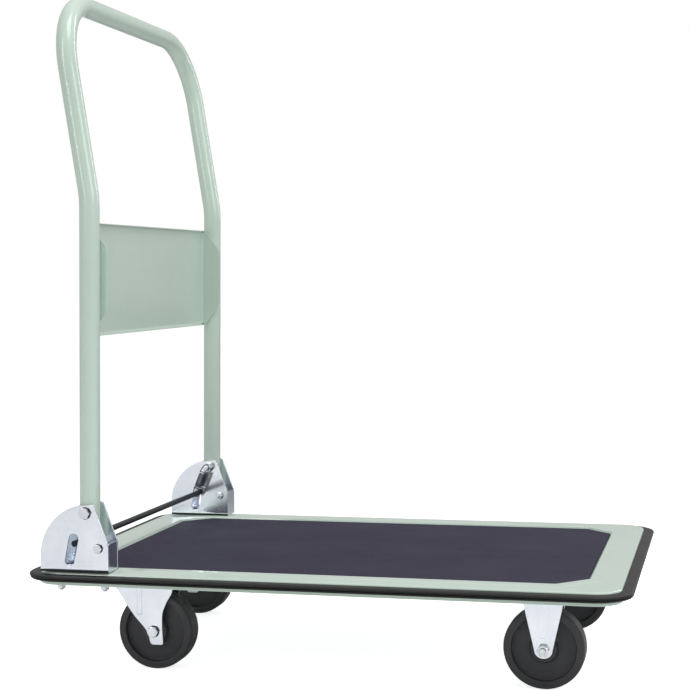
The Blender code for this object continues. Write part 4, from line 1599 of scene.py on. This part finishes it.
@dataclass
class SwivelCaster(Caster):
    """Caster with a plate, a ball race and a raked fork that turns below it."""

    place: str = "rear"

    def build_head(self) -> None:
        """Plate, race and king pin."""
        name = f"{self.prefix}_plate"
        low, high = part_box(name)
        self.centre = (low + high) / 2
        x, y = self.centre.x, self.centre.y
        plate = self.plate(low, high, self.centre, low.z, [circle((x, y), 0.0054)])
        self.shop.add(f"{name}_fine", plate, Slot.SHEET, "platform", [name], bevel=0.0004)
        self.plate_bolts(self.centre, high.z, high.z - low.z)
        name = f"{self.prefix}_race"
        low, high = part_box(name)
        r, drop = (high.x - low.x) / 2, high.z - low.z
        cups = [
            (0.0, 0.0053), (0.0, r - 0.0030), (-0.0006, r - 0.0016), (-0.0016, r - 0.0004), (-0.0026, r),
            (-0.0034, r - 0.0002), (-0.0036, r - 0.0020), (-0.0042, r - 0.0022), (-0.0044, r - 0.0026),
            (-drop + 0.0004, r - 0.0042), (-drop, r - 0.0050), (-drop, 0.0053),
        ]
        race = lathe(cups, Vector((x, y, high.z)), UP, True, 64)
        self.shop.add(f"{name}_fine", race, Slot.SHEET, "platform", [name])
        name = f"{self.prefix}_kingpin"
        low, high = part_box(name)
        length = high.z - low.z
        pin = [
            (0.0, 0.0040), (0.0004, 0.0062), (0.0014, 0.0076), (0.0034, 0.0080), (0.0040, 0.0078),
            (0.0041, 0.0050), (length - 0.0021, 0.0050), (length - 0.0020, 0.0090),
            (length - 0.0008, 0.0090), (length, 0.0070),
        ]
        rivet = lathe(pin, Vector((x, y, low.z)), UP)
        self.shop.add(f"{name}_fine", rivet, Slot.STEEL, "platform", [name])

    def build_fork(self) -> None:
        """Raked fork bent from one sheet, with a pressed crease down each leg."""
        name = f"{self.prefix}_fork"
        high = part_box(name)[1]
        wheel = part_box(f"{self.prefix}_wheel")
        axle = (wheel[0] + wheel[1]) / 2
        trail = axle.x - self.centre.x
        flip = 1 if trail > 0 else -1
        a, top, z = abs(trail), high.z, axle.z
        view = [
            (0.0550, top - self.radius), (0.0550, z + 0.0500, 0.006), (a + 0.0190, z + 0.0400, 0.008),
            (a + 0.0120, z + 0.0240, 0.006), (a + 0.0115, z + 0.0060, 0.004),
            (a + 0.0128, z - 0.0172, 0.003), (a - 0.0043, z - 0.0172, 0.004), (a - 0.0082, z - 0.0002, 0.008),
            (a - 0.0260, z + 0.0190, 0.008), (a - 0.0360, z + 0.0330, 0.008), (-0.0190, z + 0.0520, 0.008),
            (-0.0290, top - self.radius - 0.003, 0.003), (-0.0290, top - self.radius),
        ]
        leg = [(self.centre.x + flip * u, top - v, *reach) for u, v, *reach in view]
        fold = Fold(self.half, self.radius, self.sheet)
        holes, crown = [circle((axle.x, top - z), 0.0043)], [circle((self.centre.x, 0.0), 0.0053)]
        place = lay("xyz", (0.0, self.centre.y, top), "z")
        sheet = fold.bend(rounded(leg, 0.003, ends=False), holes, place, crown)
        body = f"{self.prefix}_swivel"
        self.shop.add(f"{name}_fine", sheet, Slot.SHEET, body, [name], bevel=0.0004)
        x, half = self.centre.x + flip * 0.0105, 0.0032
        strip = rounded(rectangle(x - half, x + half, z + 0.021, z + 0.062), 0.0030)
        ribs = self.raised(strip, self.centre.y, 0.0011)
        self.shop.add(f"{self.prefix}_fork_creases", ribs, Slot.SHEET, body, bevel=0.0010)
        Axle(self.shop, self.prefix, self.side.value, self.half, body).build(axle.x, axle.y, axle.z)

    def build(self) -> None:
        """Build the whole caster."""
        self.build_head()
        self.build_fork()
        Wheel(self.shop, f"{self.prefix}_wheel", f"{self.prefix}_wheel_body").build()


@dataclass
class FixedCaster(Caster):
    """Caster whose tapered fork is bent straight from its plate."""

    place: str = "front"
    plate_sheet: float = 0.0030

    def build_bracket(self) -> None:
        """Plate and fork with a pressed strip down each leg."""
        name = f"{self.prefix}_bracket"
        low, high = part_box(name)
        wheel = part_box(f"{self.prefix}_wheel")
        axle = (wheel[0] + wheel[1]) / 2
        cx, cy, z = axle.x, axle.y, axle.z
        plate = self.plate(low, high, axle, high.z - self.plate_sheet)
        top = high.z - 0.0008
        half_view = [
            (0.0400, top - self.radius), (0.0290, high.z - 0.0110, 0.006), (0.0234, z + 0.0540, 0.006),
            (0.0225, z + 0.0480, 0.004), (0.0112, z - 0.0010, 0.003),
        ]
        turns = [math.pi / 2 * i / 8 for i in range(1, 9)]
        bottom = [(0.0112 * math.cos(t), z - 0.0010 - 0.0100 * math.sin(t)) for t in turns]
        right = rounded([(cx + u, top - v, *reach) for u, v, *reach in half_view], 0.003, ends=False)
        right += [(cx + u, top - v) for u, v in bottom]
        leg = right + [(2 * cx - u, v) for u, v in reversed(right[:-1])]
        fold = Fold(self.half, self.radius, self.sheet)
        legs = fold.bend(leg, [circle((cx, top - z), 0.0043)], lay("xyz", (0.0, cy, top), "z"))
        foot, head = z + 0.014, z + 0.066
        taper = [(cx - 0.0050, foot), (cx + 0.0050, foot), (cx + 0.0085, head), (cx - 0.0085, head)]
        strips = self.raised(rounded(taper, 0.003), cy, 0.0007)
        self.shop.add(f"{name}_fine", merge([plate, legs]), Slot.SHEET, "platform", [name], bevel=0.0004)
        self.shop.add(f"{self.prefix}_fork_strips", strips, Slot.SHEET, "platform", bevel=0.0003)
        self.plate_bolts(Vector((cx, cy, 0)), high.z, self.plate_sheet)
        Axle(self.shop, self.prefix, -self.side.value, self.half, "platform").build(cx, cy, z)

    def build(self) -> None:
        """Build the whole caster."""
        self.build_bracket()
        Wheel(self.shop, f"{self.prefix}_wheel", f"{self.prefix}_wheel_body").build()


# ---------------------------------------------------------------- studio


@dataclass(frozen=True)
class Studio:
    """Camera, pale floor and soft light."""

    eye: Spot = (0.4964, -2.0462, 0.5064)
    turn: float = 0.2466
    dip: float = 0.0454
    roll: float = -0.0115
    lens: float = 81.31
    room: float = 0.62
    strip: Point = (0.30, 2.0)

    def camera(self) -> None:
        """Place the camera."""
        data = bpy.data.cameras.new("view")
        data.lens = self.lens
        data.sensor_width = 36.0
        data.clip_end = 60.0
        item = bpy.data.objects.new("view", data)
        spin = Matrix.Rotation(self.turn, 4, "Z") @ Matrix.Rotation(math.pi / 2 - self.dip, 4, "X")
        item.matrix_world = Matrix.Translation(self.eye) @ (spin @ Matrix.Rotation(self.roll, 4, "Z"))
        bpy.context.scene.collection.objects.link(item)
        bpy.context.scene.camera = item

    def floor(self) -> None:
        """Lay a wide white floor, greyer far behind the cart in what it reflects: painted shade, so glossy
        faces reflect a darker floor there.
        """
        mat = bpy.data.materials.new("studio_floor")
        mat.use_nodes = True
        book = NodeBook(mat.node_tree)
        spot = book.add("ShaderNodeTexCoord").outputs["Object"]
        depth = book.add("ShaderNodeSeparateXYZ", {0: spot}).outputs[1]
        # Painted shade: the floor colour fades from white to grey far behind the cart, so its reflections
        # there are dark.
        tone = book.ramp(depth, 0.35, 1.3)
        seen = book.add("ShaderNodeLightPath").outputs["Is Camera Ray"]
        inputs = {
            "Roughness": 0.9, "Specular IOR Level": 0.1, "Emission Color": WHITE,
            "Base Color": book.mix(tone, (0.93, 0.93, 0.93, 1.0), (0.30, 0.31, 0.32, 1.0)),
            "Emission Strength": book.math("MULTIPLY", seen, 0.8),
        }
        book.fill(mat.node_tree.nodes["Principled BSDF"], inputs)
        bm = bmesh.new()
        bmesh.ops.create_grid(bm, x_segments=2, y_segments=2, size=14.0)
        mesh = bpy.data.meshes.new("studio_floor")
        bm.to_mesh(mesh)
        bm.free()
        mesh.materials.append(mat)
        item = bpy.data.objects.new("studio_floor", mesh)
        item.location.z = -0.0004
        bpy.context.scene.collection.objects.link(item)

    def lamp(self, name: str, spot: Spot, size: Point, power: float, lights: bool = True) -> None:
        """Hang one soft lamp that faces the cart.

        Args:
            name: Name of the lamp.
            spot: Where it hangs.
            size: Width and height of its face.
            power: Power in watts.
            lights: Whether it lights matt faces too, or only shows in glossy ones.
        """
        data = bpy.data.lights.new(name, "AREA")
        data.shape = "RECTANGLE"
        data.size, data.size_y = size
        data.energy = power
        item = bpy.data.objects.new(name, data)
        item.location = spot
        item.visible_camera = False
        item.visible_diffuse = lights
        aim = Vector((0.0, 0.0, 0.3)) - Vector(spot)
        item.rotation_euler = aim.to_track_quat("-Z", "Y").to_euler()
        bpy.context.scene.collection.objects.link(item)

    def light(self) -> None:
        """Light the room with a bright ceiling, a darker far side and soft lamps."""
        world = bpy.data.worlds.new("studio")
        world.use_nodes = True
        tree = world.node_tree
        book = NodeBook(tree)
        heading = book.add("ShaderNodeTexCoord").outputs["Generated"]
        parts = book.add("ShaderNodeSeparateXYZ", {0: heading}).outputs
        ahead = book.ramp(parts[0], -0.35, 0.75, 1.0, 0.72)
        behind = book.ramp(parts[1], 0.1, 0.9, 1.0, 0.92)
        up = book.ramp(parts[2], -0.1, 0.85, 0.0, 0.92)
        walls = book.math("MULTIPLY", book.math("MULTIPLY", ahead, behind), self.room)
        sky = tree.nodes["Background"]
        book.fill(sky, {0: WHITE, 1: book.math("MAXIMUM", walls, up)})
        plain = book.add("ShaderNodeBackground", {0: WHITE, 1: 1.0})
        seen = book.add("ShaderNodeLightPath").outputs["Is Camera Ray"]
        both = book.add("ShaderNodeMixShader", {0: seen, 1: sky.outputs[0], 2: plain.outputs[0]})
        book.fill(tree.nodes["World Output"], {0: both.outputs[0]})
        bpy.context.scene.world = world
        bpy.context.scene.view_settings.view_transform = "Standard"
        self.lamp("key", (0.9, -0.5, 3.4), (1.6, 1.6), 34.0)
        self.lamp("side", (2.8, -1.4, 1.5), (1.2, 1.2), 16.0)
        self.lamp("left_strip", (-1.15, -2.05, 1.6), self.strip, 13.0, False)
        self.lamp("back_strip", (1.4, 1.7, 1.6), self.strip, 13.0, False)

    def build(self) -> None:
        """Set up the whole studio."""
        self.camera()
        self.floor()
        self.light()


def joint_place(frame: dict, name: str) -> Vector:
    """Position of a joint of the record."""
    return Vector(next(joint["pos_m"] for joint in frame["joints"] if joint["name"] == name))


def main() -> None:
    """Build the cart around its frame."""
    logging.basicConfig(level=logging.INFO, format="%(message)s")
    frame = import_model()
    Studio().build()
    shop = Workshop()
    shop.dress_frame(frame)
    pivot = joint_place(frame, "handle_fold")
    platform = Platform(shop)
    platform.build()
    for side in Side:
        Hinge(shop, side, pivot, platform.high.z).build()
    Handle(shop, pivot).build()
    Latch(shop, pivot).build()
    for side in Side:
        SwivelCaster(shop, side).build()
        FixedCaster(shop, side).build()


if __name__ == "__main__":
    main()
